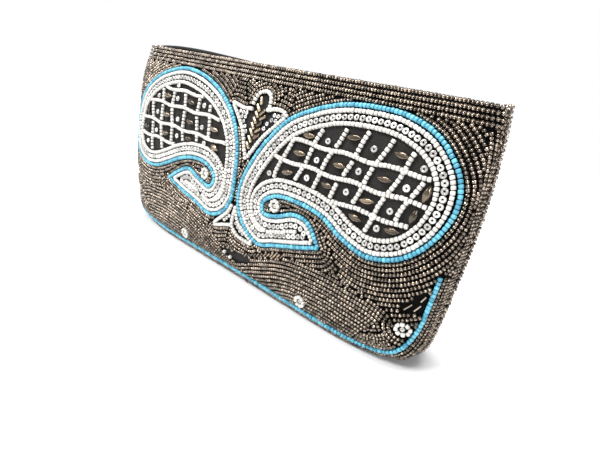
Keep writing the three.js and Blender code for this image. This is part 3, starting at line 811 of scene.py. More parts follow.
def lay_flower(layout, beads):
    """The tulip over the middle, the pair of petals under it and the tube beads by the tulip and the hem."""
    ring = beads["small_ring"]
    for points in TULIP.values():
        layout.lay("tulip_beads", curve(points), False, beads["white"], TULIP_CLOSENESS)
    layout.place("tulip_rings", TULIP_RINGS, np.zeros(len(TULIP_RINGS)), ring, PETAL_CLOSENESS)
    layout.stand_sticks("gold_bugles", GOLD_BUGLES, beads["bugle"])
    layout.stand_sticks("brown_bugles", BROWN_BUGLES, beads["bugle"])
    for side in (1, -1):
        layout.stand_sticks("hem_bugles", np.array(HEM_BUGLES) * (side, 1, side, 1), beads["needle"])
    for points in PETALS:
        outline = closed_curve(points)
        layout.lay("petal_beads", outline, True, beads["white"], PETAL_CLOSENESS)
        lay_beside(layout, "petal_rings", outline, PETAL_RING_ROW, ring, PETAL_CLOSENESS)


def lay_daisies(layout, beads):
    """Small flowers of eight beads round one."""
    turns = np.arange(DAISY_BEADS) * 360 / DAISY_BEADS + DAISY_TURN
    for name, (x, z) in DAISIES.items():
        angles = np.radians(turns)
        ring = np.stack([x + DAISY_RADIUS * np.cos(angles), z + DAISY_RADIUS * np.sin(angles)], axis=1)
        layout.place(f"{name}_beads", ring, np.degrees(angles), beads["white"])
        layout.place(f"{name}_beads", [(x, z)], [0], beads["small_ring"])


def ground_piece(line):
    """The piece that a row of the ground belongs to."""
    x, z = line.mean(axis=0)
    if z > UPPER_GROUND:
        return "ground_upper_beads"
    return "ground_right_beads" if x > 0 else "ground_left_beads"


@functools.lru_cache(maxsize=1)
def bare_outlines():
    """Outlines of the places on the front where the velvet is left bare."""
    places = (CRESCENT, HEM_BARE, mirrored(HEM_BARE))
    return [closed_curve(points) for points in places]


def is_bare(seen):
    """Which points seen from the front lie where the velvet is left bare."""
    return np.any([is_inside(outline, seen) for outline in bare_outlines()], axis=0)


def lay_ground(layout, outlines, beads):
    """The bronze ground: rows along the edges, rows that echo the motifs and rows under the wave."""
    bronze = beads["bronze"]
    across = np.linspace(-TOP_ROW_REACH, TOP_ROW_REACH, TOP_ROW_POINTS)
    for k in range(TOP_ROWS):
        height = -TOP_ROW_FIRST - k * TOP_ROW_SPACING
        shares, on_front = rolled(np.stack([across, np.full(TOP_ROW_POINTS, height)], axis=1))
        layout.lay_row("ground_upper_beads", shares[on_front], bronze, CLOSER)
    lay_sides(layout, EDGE_ROWS, bronze)
    hem = unrolled(hem_line())
    hem_tree = search_tree([hem])
    for amount in HEM_OUTER_ROWS:
        lay_echo(layout, hem, False, amount, hem_tree, lambda seen: seen[:, 1] > 1, bronze, CLOSER)
    lay_wave_bugles(layout, beads)
    layout.place("white_dots", WHITE_DOTS, np.zeros(len(WHITE_DOTS)), beads["white"])
    lay_echoes(layout, outlines, bronze)
    lay_under_wave(layout, bronze)
    for amount in np.arange(ECHO_FIRST, HEM_REACH, FILL_STEP):
        lay_echo(layout, hem, False, amount, hem_tree, under_wave, bronze, CLOSER)
    lay_sides(layout, np.arange(EDGE_ROWS[-1] + ROW_SPACING, SIDE_REACH, FILL_STEP), bronze)


def lay_wave_bugles(layout, beads):
    """Thin tube beads that stand side by side on the wave."""
    half_x, half_z = WAVE_BUGLE_HALF
    sticks = []
    for k in range(WAVE_BUGLES):
        x = WAVE_BUGLES_FROM + WAVE_BUGLES_STEP * k
        z = float(wave_height(x))
        sticks.append((x - half_x, z - half_z, x + half_x, z + half_z))
    layout.stand_sticks("wave_bugles", sticks, beads["thin_bugle"])


def under_wave(seen):
    """Which points seen from the front lie under the wave, and not where the velvet is left bare."""
    return ~is_bare(seen) & (seen[:, 1] < wave_height(seen[:, 0]))


def lay_under_wave(layout, bronze):
    """Rows of the ground round the corner daisies and along the wave."""
    angles = np.linspace(0, 2 * np.pi, RING_POINTS, endpoint=False)
    circle = np.stack([np.cos(angles), np.sin(angles)], axis=1)
    for radius in np.arange(DAISY_FIRST, DAISY_REACH, ROW_SPACING):
        for name in ("daisy_corner_right", "daisy_corner_left"):
            ring = circle * radius + DAISIES[name]
            for part, whole in runs(ring, under_wave(ring), True):
                layout.lay(ground_piece(part), part, whole, bronze, CLOSE)
    wave = unrolled(curve(mirrored(WAVE[1:]) + list(WAVE)))
    tree = search_tree([wave])
    for step, closeness in ROW_ROUNDS:
        for amount in np.arange(WAVE_FIRST, WAVE_REACH, step):
            lay_echo(layout, wave, False, amount, tree, under_wave, bronze, closeness)


def lay_echoes(layout, outlines, bronze):
    """Rows of the ground that echo the motifs, each up to where another motif is nearer."""
    closed_lines = outlines + [closed_curve(points) for points in PETALS] + [tulip_outline()]
    motifs = [(unrolled(line), -inner_sign(line)) for line in closed_lines]
    tree = search_tree([np.vstack([line, line[:1]]) for line, _ in motifs])

    def over_wave(seen):
        inside = np.any([is_inside(line, seen) for line in closed_lines], axis=0)
        return ~inside & ~is_bare(seen) & (seen[:, 1] > wave_height(seen[:, 0]) + WAVE_GAP)

    for step, closeness in ROW_ROUNDS:
        for amount in np.arange(ECHO_FIRST, ECHO_REACH, step):
            for line, outward in motifs:
                lay_echo(layout, line, True, outward * amount, tree, over_wave, bronze, closeness)


def lay_echo(layout, line, closed, amount, tree, allowed, bronze, closeness):
    """A row of the ground beside a line of the chart, where no other line is nearer and it is allowed."""
    points, aside = fanned(line, closed)
    moved = points + aside * amount
    shares, keep = rolled(moved)
    keep &= nearest(tree, moved) > abs(amount) - FAN_ROOM
    seen = front(shares)[:, [0, 2]]
    keep[keep] = allowed(seen[keep])
    for part, whole in runs(np.hstack([shares, seen]), keep, closed):
        row = np.vstack([part, part[:1]]) if whole else part
        layout.lay_row(ground_piece(part[:, 2:]), row[:, :2], bronze, closeness)


def lay_sides(layout, distances, bronze):
    """Rows on both turned ends, from the mouth down to the base, at distances from the seam."""
    t = np.linspace(0, BASE, CHART_ROWS)
    v = np.linspace(-1, 1, CHART_COLUMNS)
    for side in (-1, 1):
        for away in distances:
            across = [np.interp(line[-1] - away, line, v) * side for line in front_chart()[:, :, 0]]
            shares = np.stack([t, across], axis=1)
            for part, _ in runs(shares, ~is_bare(front(shares)[:, [0, 2]])):
                layout.lay_row("ground_end_beads", part, bronze, CLOSER)


def rope_path():
    """The line of the whipped edge along the side seams and the bottom seam, in millimetres."""
    t = np.linspace(0, 1, ROPE_SIDE_POINTS)
    side = np.stack(
        [spline("half_width", t), np.maximum(0, spline("height", t)) + spline("end_lift", t)], axis=1
    )
    across = np.linspace(ROPE_BOTTOM_FROM, 0, ROPE_BOTTOM_POINTS)
    bottom = wall(np.ones(ROPE_BOTTOM_POINTS), across, 0, FRONT)[:, [0, 2]]
    seam = np.vstack([side, bottom])
    whole = np.vstack([seam, mirrored(seam[:-1])])
    whole = evenly(whole, 1)
    ahead = line_directions(whole, False)
    moved = whole + np.stack([-ahead[:, 1], ahead[:, 0]], axis=1) * ROPE_REACH
    for _ in range(ROPE_SMOOTHINGS):
        moved[1:-1] = (moved[:-2] + 2 * moved[1:-1] + moved[2:]) / 4
    return np.stack([moved[:, 0], np.full(len(moved), SEAM_Y), moved[:, 1]], axis=1)


def lay_rope(layout, beads):
    """Beads wound closely round the seams."""
    path = evenly(rope_path(), ROPE_STEP)
    lengths = np.arange(len(path)) * np.linalg.norm(path[1] - path[0])
    bead = beads["bronze"]
    turn = math.hypot(2 * math.pi * ROPE_COIL_RADIUS, ROPE_PITCH)
    marks = np.arange(0, lengths[-1], ROPE_PITCH * bead["pitch"] / turn)
    shifts = (0, ROPE_AHEAD, -ROPE_AHEAD)
    middle, ahead, behind = (points_at(marks + shift, lengths, path) for shift in shifts)
    ahead = unit(ahead - behind)
    angle = 2 * np.pi * marks / ROPE_PITCH
    back = np.tile((0.0, 1.0, 0.0), (len(marks), 1))
    out = np.cross(ahead, back)
    normals = np.cos(angle)[:, None] * out + np.sin(angle)[:, None] * back
    round_it = -np.sin(angle)[:, None] * out + np.cos(angle)[:, None] * back
    along = unit(round_it * 2 * math.pi * ROPE_COIL_RADIUS + ahead * ROPE_PITCH)
    centres = middle + normals * ROPE_COIL_RADIUS
    size = (bead["length"], bead["diameter"] * ROPE_BEAD)
    layout.add("rope_beads", bead["form"], centres, along, normals, size)
    # Steps of the golden angle spread the beads evenly round a knob
    turns = np.arange(KNOB_BEADS) * math.pi * (3 - math.sqrt(5))
    level = np.linspace(-KNOB_CAP, KNOB_CAP, KNOB_BEADS)
    spoke = np.sqrt(1 - level**2)
    out = np.stack([np.cos(turns) * spoke, np.sin(turns) * spoke, level], axis=1)
    along = unit(np.cross(out, (0.0, 0.3, 1.0)))
    size = (bead["length"], bead["diameter"])
    for end in (path[0], path[-1]):
        middle = end - (math.copysign(KNOB_INWARD, end[0]), 0, KNOB_DROP)
        layout.add("rope_beads", bead["form"], middle + out * KNOB_RADIUS, along, out, size)


@functools.lru_cache(maxsize=1)
def lay_out_beads(bronze_diameter, white_diameter):
    """Every bead of the purse, piece by piece."""
    beads = {
        "bronze": {"form": "seed", "length": 1.47, "diameter": bronze_diameter, "pitch": 1.5},
        "white": {"form": "cut", "length": 1.46, "diameter": white_diameter * 0.97, "pitch": 1.78},
        "blue": {"form": "cut", "length": 1.54, "diameter": white_diameter, "pitch": 1.78},
        "ring": {"form": "ring", "length": 2.75, "diameter": 2.75, "pitch": 2.78},
        "window_ring": {"form": "ring", "length": 2.9, "diameter": 2.9, "pitch": 2.9},
        "small_ring": {"form": "ring", "length": 2.1, "diameter": 2.1, "pitch": 2.2},
        "oval": {"form": "oval", "length": 6.8, "diameter": 2.8, "pitch": 6.8},
        "bugle": {"form": "bugle", "length": 4, "diameter": 1.5, "pitch": 4},
        "thin_bugle": {"form": "bugle", "length": 3, "diameter": 1.1, "pitch": 3},
        "needle": {"form": "bugle", "length": 3, "diameter": 0.8, "pitch": 3},
    }
    for bead in beads.values():
        bead["rise"] = THREAD + bead["diameter"] * (RING_RISE if bead["form"] == "ring" else 0.5)
    layout = BeadLayout(np.random.default_rng(SEED))
    outlines = [lay_paisley(layout, name, beads) for name in PAISLEYS]
    lay_flower(layout, beads)
    layout.lay("hem_beads", hem_line(), False, beads["blue"], 0)
    lay_daisies(layout, beads)
    lay_ground(layout, outlines, beads)
    lay_rope(layout, beads)
    return layout.pieces


# Modelling


def deselect():
    """Leaves nothing selected."""
    if bpy.context.mode != "OBJECT":
        bpy.ops.object.mode_set(mode="OBJECT")
    bpy.ops.object.select_all(action="DESELECT")


def select_parts(piece, kind, wanted):
    """Selects the corners or edges of a piece that are wanted, in edit mode."""
    bpy.ops.object.mode_set(mode="EDIT")
    bpy.ops.mesh.select_mode(type=kind)
    bpy.ops.mesh.select_all(action="DESELECT")
    form = bmesh.from_edit_mesh(piece.data)
    for part in form.edges if kind == "EDGE" else form.verts:
        part.select = wanted(part)
    form.select_flush_mode()
    bmesh.update_edit_mesh(piece.data)


def pattern_of(piece):
    """The corners and faces of a modelled bead, which is then removed."""
    bpy.ops.object.mode_set(mode="OBJECT")
    mesh = piece.data
    corners = np.array([vertex.co for vertex in mesh.vertices])
    faces = [list(polygon.vertices) for polygon in mesh.polygons]
    bpy.data.objects.remove(piece)
    bpy.data.meshes.remove(mesh)
    return corners, faces


def tube_bead(sides, rounding):
    """A bead of length and diameter 1 along X: a tube with rounded ends."""
    deselect()
    bpy.ops.mesh.primitive_cylinder_add(
        vertices=sides, radius=0.5, depth=1, end_fill_type="NGON", rotation=(0, math.pi / 2, 0)
    )
    bpy.ops.object.transform_apply(location=False, rotation=True, scale=False)
    piece = bpy.context.object
    select_parts(piece, "EDGE", lambda edge: all(abs(abs(corner.co.x) - 0.5) < 1e-4 for corner in edge.verts))
    bpy.ops.mesh.bevel(offset=rounding, segments=1, affect="EDGES")
    return pattern_of(piece)


def ring_bead():
    """A bead of diameter 1 that stands with its hole up, along Z, and is flatter at its two ends."""
    deselect()
    bpy.ops.mesh.primitive_torus_add(
        major_segments=12, minor_segments=6, major_radius=RING_RADIUS, minor_radius=RING_THICKNESS
    )
    piece = bpy.context.object
    select_parts(piece, "VERT", lambda corner: abs(corner.co.z) > 0.1)
    bpy.ops.transform.resize(value=RING_SHAPING, center_override=(0, 0, 0))
    return pattern_of(piece)


def oval_bead():
    """A long bead of length and diameter 1 along X, pointed at its ends and grooved along its top."""
    deselect()
    bpy.ops.mesh.primitive_uv_sphere_add(segments=16, ring_count=10, radius=0.5, rotation=(0, math.pi / 2, 0))
    bpy.ops.object.transform_apply(location=False, rotation=True, scale=False)
    piece = bpy.context.object
    for corner in piece.data.vertices:
        corner.co.yz = corner.co.yz * math.sqrt(max(0, 1 - 4 * corner.co.x**2))
    select_parts(piece, "VERT", lambda corner: abs(corner.co.y) < 1e-4 and corner.co.z > 0.1)
    bpy.ops.transform.translate(value=(0, 0, -OVAL_GROOVE))
    return pattern_of(piece)


BEAD_MAKERS = {
    "seed": functools.partial(tube_bead, TUBE_SIDES, SEED_ROUNDING),
    "cut": functools.partial(tube_bead, TUBE_SIDES, CUT_ROUNDING),
    "bugle": functools.partial(tube_bead, BUGLE_SIDES, BUGLE_ROUNDING),
    "ring": ring_bead,
    "oval": oval_bead,
}


@functools.lru_cache(maxsize=None)
def bead_pattern(form):
    """The corners and faces of one kind of bead."""
    return BEAD_MAKERS[form]()


def joined_beads(name, groups, material):
    """One piece of many beads, each with its own size, turn and tone."""
    corners, starts, loops, tones = [], [], [], []
    corner_count, loop_count = 0, 0
    for group in groups:
        shape, faces = bead_pattern(group["form"])
        sideways = np.cross(group["normals"], group["along"])
        size = np.broadcast_to(group["size"], (len(group["tones"]), 2))
        placed = (
            group["centres"][:, None]
            + (shape[None, :, :1] * size[:, None, :1]) * group["along"][:, None]
            + (shape[None, :, 1:2] * size[:, None, 1:]) * sideways[:, None]
            + (shape[None, :, 2:] * size[:, None, 1:]) * group["normals"][:, None]
        )
        count = len(group["tones"])
        flat = np.concatenate([np.asarray(face) for face in faces])
        face_starts = np.concatenate([[0], np.cumsum([len(face) for face in faces])[:-1]])
        shift = corner_count + np.arange(count)[:, None] * len(shape)
        loops.append((flat[None] + shift).ravel())
        starts.append((face_starts[None] + loop_count + np.arange(count)[:, None] * len(flat)).ravel())
        corners.append(placed.reshape(-1, 3) * MM)
        tones.append(np.repeat(group["tones"], len(shape)))
        corner_count += count * len(shape)
        loop_count += count * len(flat)
    mesh = bpy.data.meshes.new(name)
    points = np.concatenate(corners)
    mesh.vertices.add(len(points))
    mesh.vertices.foreach_set("co", points.ravel())
    mesh.loops.add(loop_count)
    mesh.loops.foreach_set("vertex_index", np.concatenate(loops).astype(np.int32))
    faces = np.concatenate(starts).astype(np.int32)
    mesh.polygons.add(len(faces))
    mesh.polygons.foreach_set("loop_start", faces)
    mesh.update(calc_edges=True)
    mesh.polygons.foreach_set("use_smooth", np.ones(len(faces), bool))
    tone = mesh.attributes.new("tone", "FLOAT", "POINT")
    tone.data.foreach_set("value", np.concatenate(tones).astype(np.float32))
    mesh.materials.append(material)
    piece = bpy.data.objects.new(name, mesh)
    bpy.context.collection.objects.link(piece)
    return piece


def wall_area(side):
    """The outer area of a wall, in square metres."""
    grid = wall_grid(side, 0) * MM
    first = np.cross(grid[1:, :-1] - grid[:-1, :-1], grid[:-1, 1:] - grid[:-1, :-1])
    second = np.cross(grid[1:, :-1] - grid[1:, 1:], grid[:-1, 1:] - grid[1:, 1:])
    return float((np.linalg.norm(first, axis=2) + np.linalg.norm(second, axis=2)).sum() / 2)


def wall_grid(side, lift):
    """Rows and columns of points on a wall, in millimetres."""
    half = 1 - (1 - np.linspace(0, 1, PANEL_COLUMNS // 2 + 1)) ** COLUMN_CROWDING
    u = np.concatenate([-half[:0:-1], half])
    t = np.linspace(0, 1, PANEL_ROWS + 1)
    return wall(t[:, None], u[None], lift - puckers(t[:, None], u[None], side), side)


def puckers(t, u, side):
    """How far the stitching draws the velvet in beside its seams, in millimetres."""
    depth, pitch = PUCKERS[side]
    along = np.where(np.abs(u) > SIDE_SEAM_FROM, SIDE_SEAM_LENGTH * t, BOTTOM_SEAM_HALF * u)
    wander = PUCKER_WANDER * np.sin(along / WANDER_LENGTH)
    wave = 0.5 + 0.5 * np.sin(2 * np.pi * along / pitch + wander)
    by_side = smooth((np.abs(u) - SIDE_FADE[0]) / SIDE_FADE[1])
    by_bottom = smooth((t - BOTTOM_FADE[0]) / BOTTOM_FADE[1])
    return depth * wave * np.maximum(by_side, by_bottom) * fullness(u) * smooth((1 - t) / END_FADE)


def velvet_wall(name, side):
    """A velvet wall: a grid with its thickness, drawn to the wall's form and softened."""
    deselect()
    bpy.ops.mesh.primitive_grid_add(x_subdivisions=PANEL_COLUMNS, y_subdivisions=PANEL_ROWS, size=2)
    piece = bpy.context.object
    piece.name = name
    bpy.ops.object.mode_set(mode="EDIT")
    bpy.ops.mesh.select_all(action="SELECT")
    bpy.ops.mesh.extrude_region_move(TRANSFORM_OT_translate={"value": (0, 0, 1)})
    bpy.ops.object.mode_set(mode="OBJECT")
    layers = (wall_grid(side, 0), wall_grid(side, -WALL))
    for vertex in piece.data.vertices:
        x, y, z = vertex.co
        column = round((x + 1) / 2 * PANEL_COLUMNS)
        row = round((1 - y) / 2 * PANEL_ROWS)
        vertex.co = layers[0 if z > 0.5 else 1][row, column] * MM
    bpy.ops.object.mode_set(mode="EDIT")
    bpy.ops.mesh.select_all(action="SELECT")
    bpy.ops.mesh.normals_make_consistent(inside=False)
    bpy.ops.object.mode_set(mode="OBJECT")
    soften = piece.modifiers.new("soften", "SUBSURF")
    soften.levels = 1
    soften.render_levels = 1
    bpy.ops.object.modifier_apply(modifier="soften")
    bpy.ops.object.shade_smooth()
    mark_painted_bead_shade(piece, side)
    return piece


def mark_painted_bead_shade(piece, side):
    """Marks where no painted shade darkens the velvet: where the pile stands free of beads, on all but the
    front and there in the windows of the paisleys; under the beads the value is 0, for painted shade between
    them.
    """
    points = np.array([vertex.co for vertex in piece.data.vertices]) / MM
    # 1 leaves the velvet's colour as it is; 0 paints it dark, as shade between the beads, fading in at the
    # edges of the bare places
    free = np.ones(len(points))
    if side == FRONT:
        seen = points[:, [0, 2]]
        covered = points[:, 1] < SEAM_Y - SEAM_MARGIN
        free[covered] = 0
        areas = [(curve(line, closed=True), BAND_MARGIN) for line in PAISLEYS.values()]
        areas += [(tulip_outline(), 0), (bare_outlines()[0], CRESCENT_MARGIN)]
        for outline, margin in areas:
            within = is_inside(outline, seen) & covered
            free[within] = smooth((line_distance(outline, seen[within], True) - margin) / BEAD_SHADE_FADE)
    pile = piece.data.attributes.new("free_pile", "FLOAT", "POINT")
    pile.data.foreach_set("value", free.astype(np.float32))


def fixed_piece(piece, slot, *nodes):
    """Sets a piece on the purse's body, in place of the given solids."""
    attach(piece, "root")
    if nodes:
        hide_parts(*nodes)


# Materials


def add_node(tree, kind, inputs=(), **settings):
    """A node with the given settings, whose inputs are linked to sockets or set to values."""
    node = tree.nodes.new(kind)
    for name, value in settings.items():
        setattr(node, name, value)
    for name, value in dict(inputs).items():
        feed(tree, node.inputs[name], value)
    return node


def feed(tree, socket, value):
    """Links a socket to another one, or sets its value."""
    if isinstance(value, bpy.types.NodeSocket):
        tree.links.new(value, socket)
    else:
        socket.default_value = value


def add_noise(tree, scale, detail):
    """The value of a noise over a piece, in its own coordinates."""
    place = add_node(tree, "ShaderNodeTexCoord")
    inputs = {"Vector": place.outputs["Object"], "Scale": scale, "Detail": detail}
    return add_node(tree, "ShaderNodeTexNoise", inputs).outputs["Fac"]


def add_bump(tree, shader, height, strength, distance):
    """Turns a shader's normal by a height over the surface."""
    bump = add_node(tree, "ShaderNodeBump", {"Height": height, "Strength": strength, "Distance": distance})
    feed(tree, shader.inputs["Normal"], bump.outputs["Normal"])


def add_ramp(tree, value, low, high):
    """A blend between two colours, each at its own value."""
    ramp = add_node(tree, "ShaderNodeValToRGB", {"Fac": value})
    for element, (position, colour) in zip(ramp.color_ramp.elements, (low, high)):
        element.position = position
        element.color = (*colour, 1)
    return ramp.outputs["Color"]


def new_material(name):
    """A new material, its node tree and its shader."""
    material = bpy.data.materials.new(name)
    material.use_nodes = True
    return material, material.node_tree, material.node_tree.nodes["Principled BSDF"]


@functools.lru_cache(maxsize=None)
def bead_glaze():
    """Node group: a bead's colour between two tones, with fine mottling and uneven polish."""
    group = bpy.data.node_groups.new("bead_glaze", "ShaderNodeTree")
    sockets = {
        "INPUT": {"Tone": "Float", "Dark": "Color", "Light": "Color", "Polish": "Float"},
        "OUTPUT": {"Color": "Color", "Roughness": "Float", "Height": "Float"},
    }
    for way, kinds in sockets.items():
        for name, kind in kinds.items():
            group.interface.new_socket(name=name, in_out=way, socket_type=f"NodeSocket{kind}")
    given = add_node(group, "NodeGroupInput").outputs
    mottle = add_noise(group, scale=1400, detail=3)
    lower = add_node(group, "ShaderNodeMath", {0: given["Tone"], 1: 0.25}, operation="SUBTRACT").outputs[0]
    shift = add_node(group, "ShaderNodeMath", {0: mottle, 1: 0.5, 2: lower}, operation="MULTIPLY_ADD")
    mixed = {"Factor": shift.outputs[0], "A": given["Dark"], "B": given["Light"]}
    blend = add_node(group, "ShaderNodeMix", mixed, data_type="RGBA")
    uneven = {0: mottle, 1: 0.16, 2: given["Polish"]}
    polish = add_node(group, "ShaderNodeMath", uneven, operation="MULTIPLY_ADD")
    results = {"Color": blend.outputs["Result"], "Roughness": polish.outputs[0], "Height": mottle}
    add_node(group, "NodeGroupOutput", results)
    return group


def bead_material(name, dark, light, polish, metallic, coat):
    """Glass bead finish between two tones."""
    material, tree, shader = new_material(name)
    tone = add_node(tree, "ShaderNodeAttribute", attribute_name="tone")
    glaze = add_node(tree, "ShaderNodeGroup", node_tree=bead_glaze())
    values = {"Tone": tone.outputs["Fac"], "Dark": (*dark, 1), "Light": (*light, 1), "Polish": polish}
    for socket, value in values.items():
        feed(tree, glaze.inputs[socket], value)
    feed(tree, shader.inputs["Base Color"], glaze.outputs["Color"])
    feed(tree, shader.inputs["Roughness"], glaze.outputs["Roughness"])
    add_bump(tree, shader, glaze.outputs["Height"], strength=0.12, distance=0.0002)
    shader.inputs["Metallic"].default_value = metallic
    shader.inputs["Coat Weight"].default_value = coat
    shader.inputs["Coat Roughness"].default_value = 0.12
    return material


def velvet_material(colour):
    """Dark velvet: a short pile that shines at its edges, brushed in soft patches, with painted shade under
    the beads.
    """
    material, tree, shader = new_material("charcoal_velvet")
    pile = add_noise(tree, scale=2600, detail=2)
    inputs = {"Factor": 0.55, "A": add_noise(tree, scale=45, detail=4), "B": pile}
    mixed = add_node(tree, "ShaderNodeMix", inputs, data_type="FLOAT")
    low = (0.32, [c * 0.45 for c in colour])
    high = (0.72, [min(1, c * 1.7) for c in colour])
    brushed = add_ramp(tree, mixed.outputs["Result"], low, high)
    free_pile = add_node(tree, "ShaderNodeAttribute", attribute_name="free_pile")
    # Painted shade: under the beads the velvet is darkened to 0.12 of its colour, standing in for the shade
    # between them
    inputs = {"Factor": free_pile.outputs["Fac"], "A": (*(c * 0.12 for c in colour), 1), "B": brushed}
    bead_shaded = add_node(tree, "ShaderNodeMix", inputs, data_type="RGBA")
    feed(tree, shader.inputs["Base Color"], bead_shaded.outputs["Result"])
    add_bump(tree, shader, pile, strength=0.5, distance=0.0004)
    shader.inputs["Roughness"].default_value = 0.95
    shader.inputs["Specular IOR Level"].default_value = 0.1
    shader.inputs["Sheen Weight"].default_value = 0.3
    shader.inputs["Sheen Roughness"].default_value = 0.3
    shader.inputs["Sheen Tint"].default_value = (0.75, 0.74, 0.76, 1)
    return material


def floor_material(colour):
    """Plain pale paper with a faint tooth."""
    material, tree, shader = new_material("studio_paper")
    tooth = add_noise(tree, scale=900, detail=2)
    add_bump(tree, shader, tooth, strength=0.03, distance=0.0002)
    shader.inputs["Base Color"].default_value = (*colour, 1)
    shader.inputs["Roughness"].default_value = 0.9
    return material


# The stage


def studio_world():
    """Surrounds the stage with white at eye level and a dimmer ceiling."""
    world = bpy.data.worlds.new("studio")
    world.use_nodes = True
    tree = world.node_tree
    place = add_node(tree, "ShaderNodeTexCoord")
    split = add_node(tree, "ShaderNodeSeparateXYZ", {"Vector": place.outputs["Generated"]})
    colour = add_ramp(tree, split.outputs["Z"], (0.2, (1, 1, 1)), (0.4, (0.3, 0.3, 0.31)))
    feed(tree, tree.nodes["Background"].inputs["Color"], colour)
    return world


def add_turned(name, data, right, back, place):
    """A lamp or camera at a place, with the given directions to its right and behind it."""
    holder = bpy.data.objects.new(name, data)
    up = np.cross(back, right)
    holder.matrix_world = Matrix([(right[k], up[k], back[k], place[k]) for k in range(3)] + [(0, 0, 0, 1)])
    bpy.context.collection.objects.link(holder)
    return holder


def add_lamp(name, place, width, power):
    """A soft lamp turned to the purse."""
    lamp = bpy.data.lights.new(name, "AREA")
    lamp.energy = power
    lamp.size = width
    back = unit(np.array(place) - LAMP_AIM)
    add_turned(name, lamp, unit(np.cross((0, 0, 1), back)), back, place)


def set_camera(settings):
    """The camera at the photographer's place."""
    yaw, pitch, roll = settings.camera_turn
    forward = np.array((-math.sin(yaw) * math.cos(pitch), math.cos(yaw) * math.cos(pitch), -math.sin(pitch)))
    level = np.array((math.cos(yaw), math.sin(yaw), 0))
    right = math.cos(roll) * level + math.sin(roll) * np.cross(forward, level)
    data = bpy.data.cameras.new("camera")
    data.lens = settings.lens
    data.sensor_width = 36
    data.clip_start = 0.01
    data.clip_end = 50
    bpy.context.scene.camera = add_turned("camera", data, right, -forward, settings.camera_place)


# The add-on


def colour_property(name, description, default):
    """A colour that a user may change."""
    return bpy.props.FloatVectorProperty(
        name=name, description=description, subtype="COLOR", size=3, min=0, max=1, default=default
    )


class PurseBeads(bpy.types.PropertyGroup):
    """Sizes and colours of the beads and the velvet."""

    bronze_diameter: bpy.props.FloatProperty(
        name="Bronze bead", description="Diameter of the ground's seed beads, in millimetres",
        default=1.72, min=1.2, max=2.4
    )
    white_diameter: bpy.props.FloatProperty(
        name="White bead", description="Diameter of the motifs' seed beads, in millimetres",
        default=2.1, min=1.4, max=2.6
    )
    bronze_dark: colour_property("Bronze, dark", "Darkest tone of the ground's beads", (0.095, 0.077, 0.06))
    bronze_light: colour_property("Bronze, light", "Lightest tone of the ground's beads", (0.4, 0.335, 0.27))
    white_dark: colour_property("White, dark", "Darkest tone of the white beads", (0.48, 0.465, 0.43))
    white_light: colour_property("White, light", "Lightest tone of the white beads", (0.64, 0.62, 0.585))
    pearl_dark: colour_property("Pearl, dark", "Darkest tone of the ring beads", (0.3, 0.29, 0.275))
    pearl_light: colour_property("Pearl, light", "Lightest tone of the ring beads", (0.66, 0.65, 0.63))
    blue_dark: colour_property("Blue, dark", "Darkest tone of the blue beads", (0.03, 0.2, 0.3))
    blue_light: colour_property("Blue, light", "Lightest tone of the blue beads", (0.12, 0.43, 0.56))
    oval_dark: colour_property("Oval, dark", "Darkest tone of the oval beads", (0.025, 0.018, 0.011))
    oval_light: colour_property("Oval, light", "Lightest tone of the oval beads", (0.34, 0.26, 0.175))
    gold_light: colour_property("Gold", "Tone of the pale tube beads", (0.72, 0.62, 0.42))
    velvet: colour_property("Velvet", "Colour of the velvet", (0.02, 0.019, 0.0185))


class PurseStage(bpy.types.PropertyGroup):
    """The camera and the floor."""

    floor: colour_property("Floor", "Colour of the floor", (0.72, 0.72, 0.72))
    floor_size: bpy.props.FloatProperty(
        name="Floor size", description="Width of the floor", default=1.5, unit="LENGTH"
    )
    lens: bpy.props.FloatProperty(name="Lens", description="Focal length", default=26.07, unit="CAMERA")
    camera_place: bpy.props.FloatVectorProperty(
        name="Camera", description="Where the camera stands", subtype="TRANSLATION", unit="LENGTH",
        default=(0.1567, -0.1564, 0.1134)
    )
    camera_turn: bpy.props.FloatVectorProperty(
        name="Camera turn", description="Yaw, pitch and roll of the camera", subtype="EULER",
        default=(0.6822, 0.362, -0.1472)
    )


def bead_finish(settings, kind):
    """The material of one kind of bead."""
    finishes = {
        "bronze": (settings.bronze_dark, settings.bronze_light, 0.05, 0.9, 0.35),
        "white": (settings.white_dark, settings.white_light, 0.3, 0.0, 0.12),
        "pearl": (settings.pearl_dark, settings.pearl_light, 0.1, 0.45, 0.5),
        "blue": (settings.blue_dark, settings.blue_light, 0.28, 0.0, 0.15),
        "oval": (settings.oval_dark, settings.oval_light, 0.06, 0.85, 0.5),
        "gold": (settings.oval_light, settings.gold_light, 0.15, 0.8, 0.5),
    }
    dark, light, polish, metallic, coat = finishes[kind]
    name = f"{kind}_glass"
    return bpy.data.materials.get(name) or bead_material(name, dark, light, polish, metallic, coat)


def beads_of(context):
    """All beads of the purse, at the sizes that are set."""
    settings = context.scene.purse_beads
    return lay_out_beads(settings.bronze_diameter, settings.white_diameter)


def bead_piece(context, name, kind, slot, *nodes):
    """One piece of beads laid on the front."""
    piece = joined_beads(name, beads_of(context)[name], bead_finish(context.scene.purse_beads, kind))
    fixed_piece(piece, slot, *nodes)


class PURSE_OT_velvet(bpy.types.Operator):
    """Sew the two velvet walls"""

    bl_idname = "purse.velvet"
    bl_label = "Velvet walls"

    def execute(self, context):
        velvet = velvet_material(tuple(context.scene.purse_beads.velvet))
        for side, name, node in ((FRONT, "velvet_front", "front_panel"), (BACK, "velvet_back", "back_panel")):
            piece = velvet_wall(name, side)
            piece.data.materials.append(velvet)
            fixed_piece(piece, "velvet", node)
            area = wall_area(side)
        return {"FINISHED"}


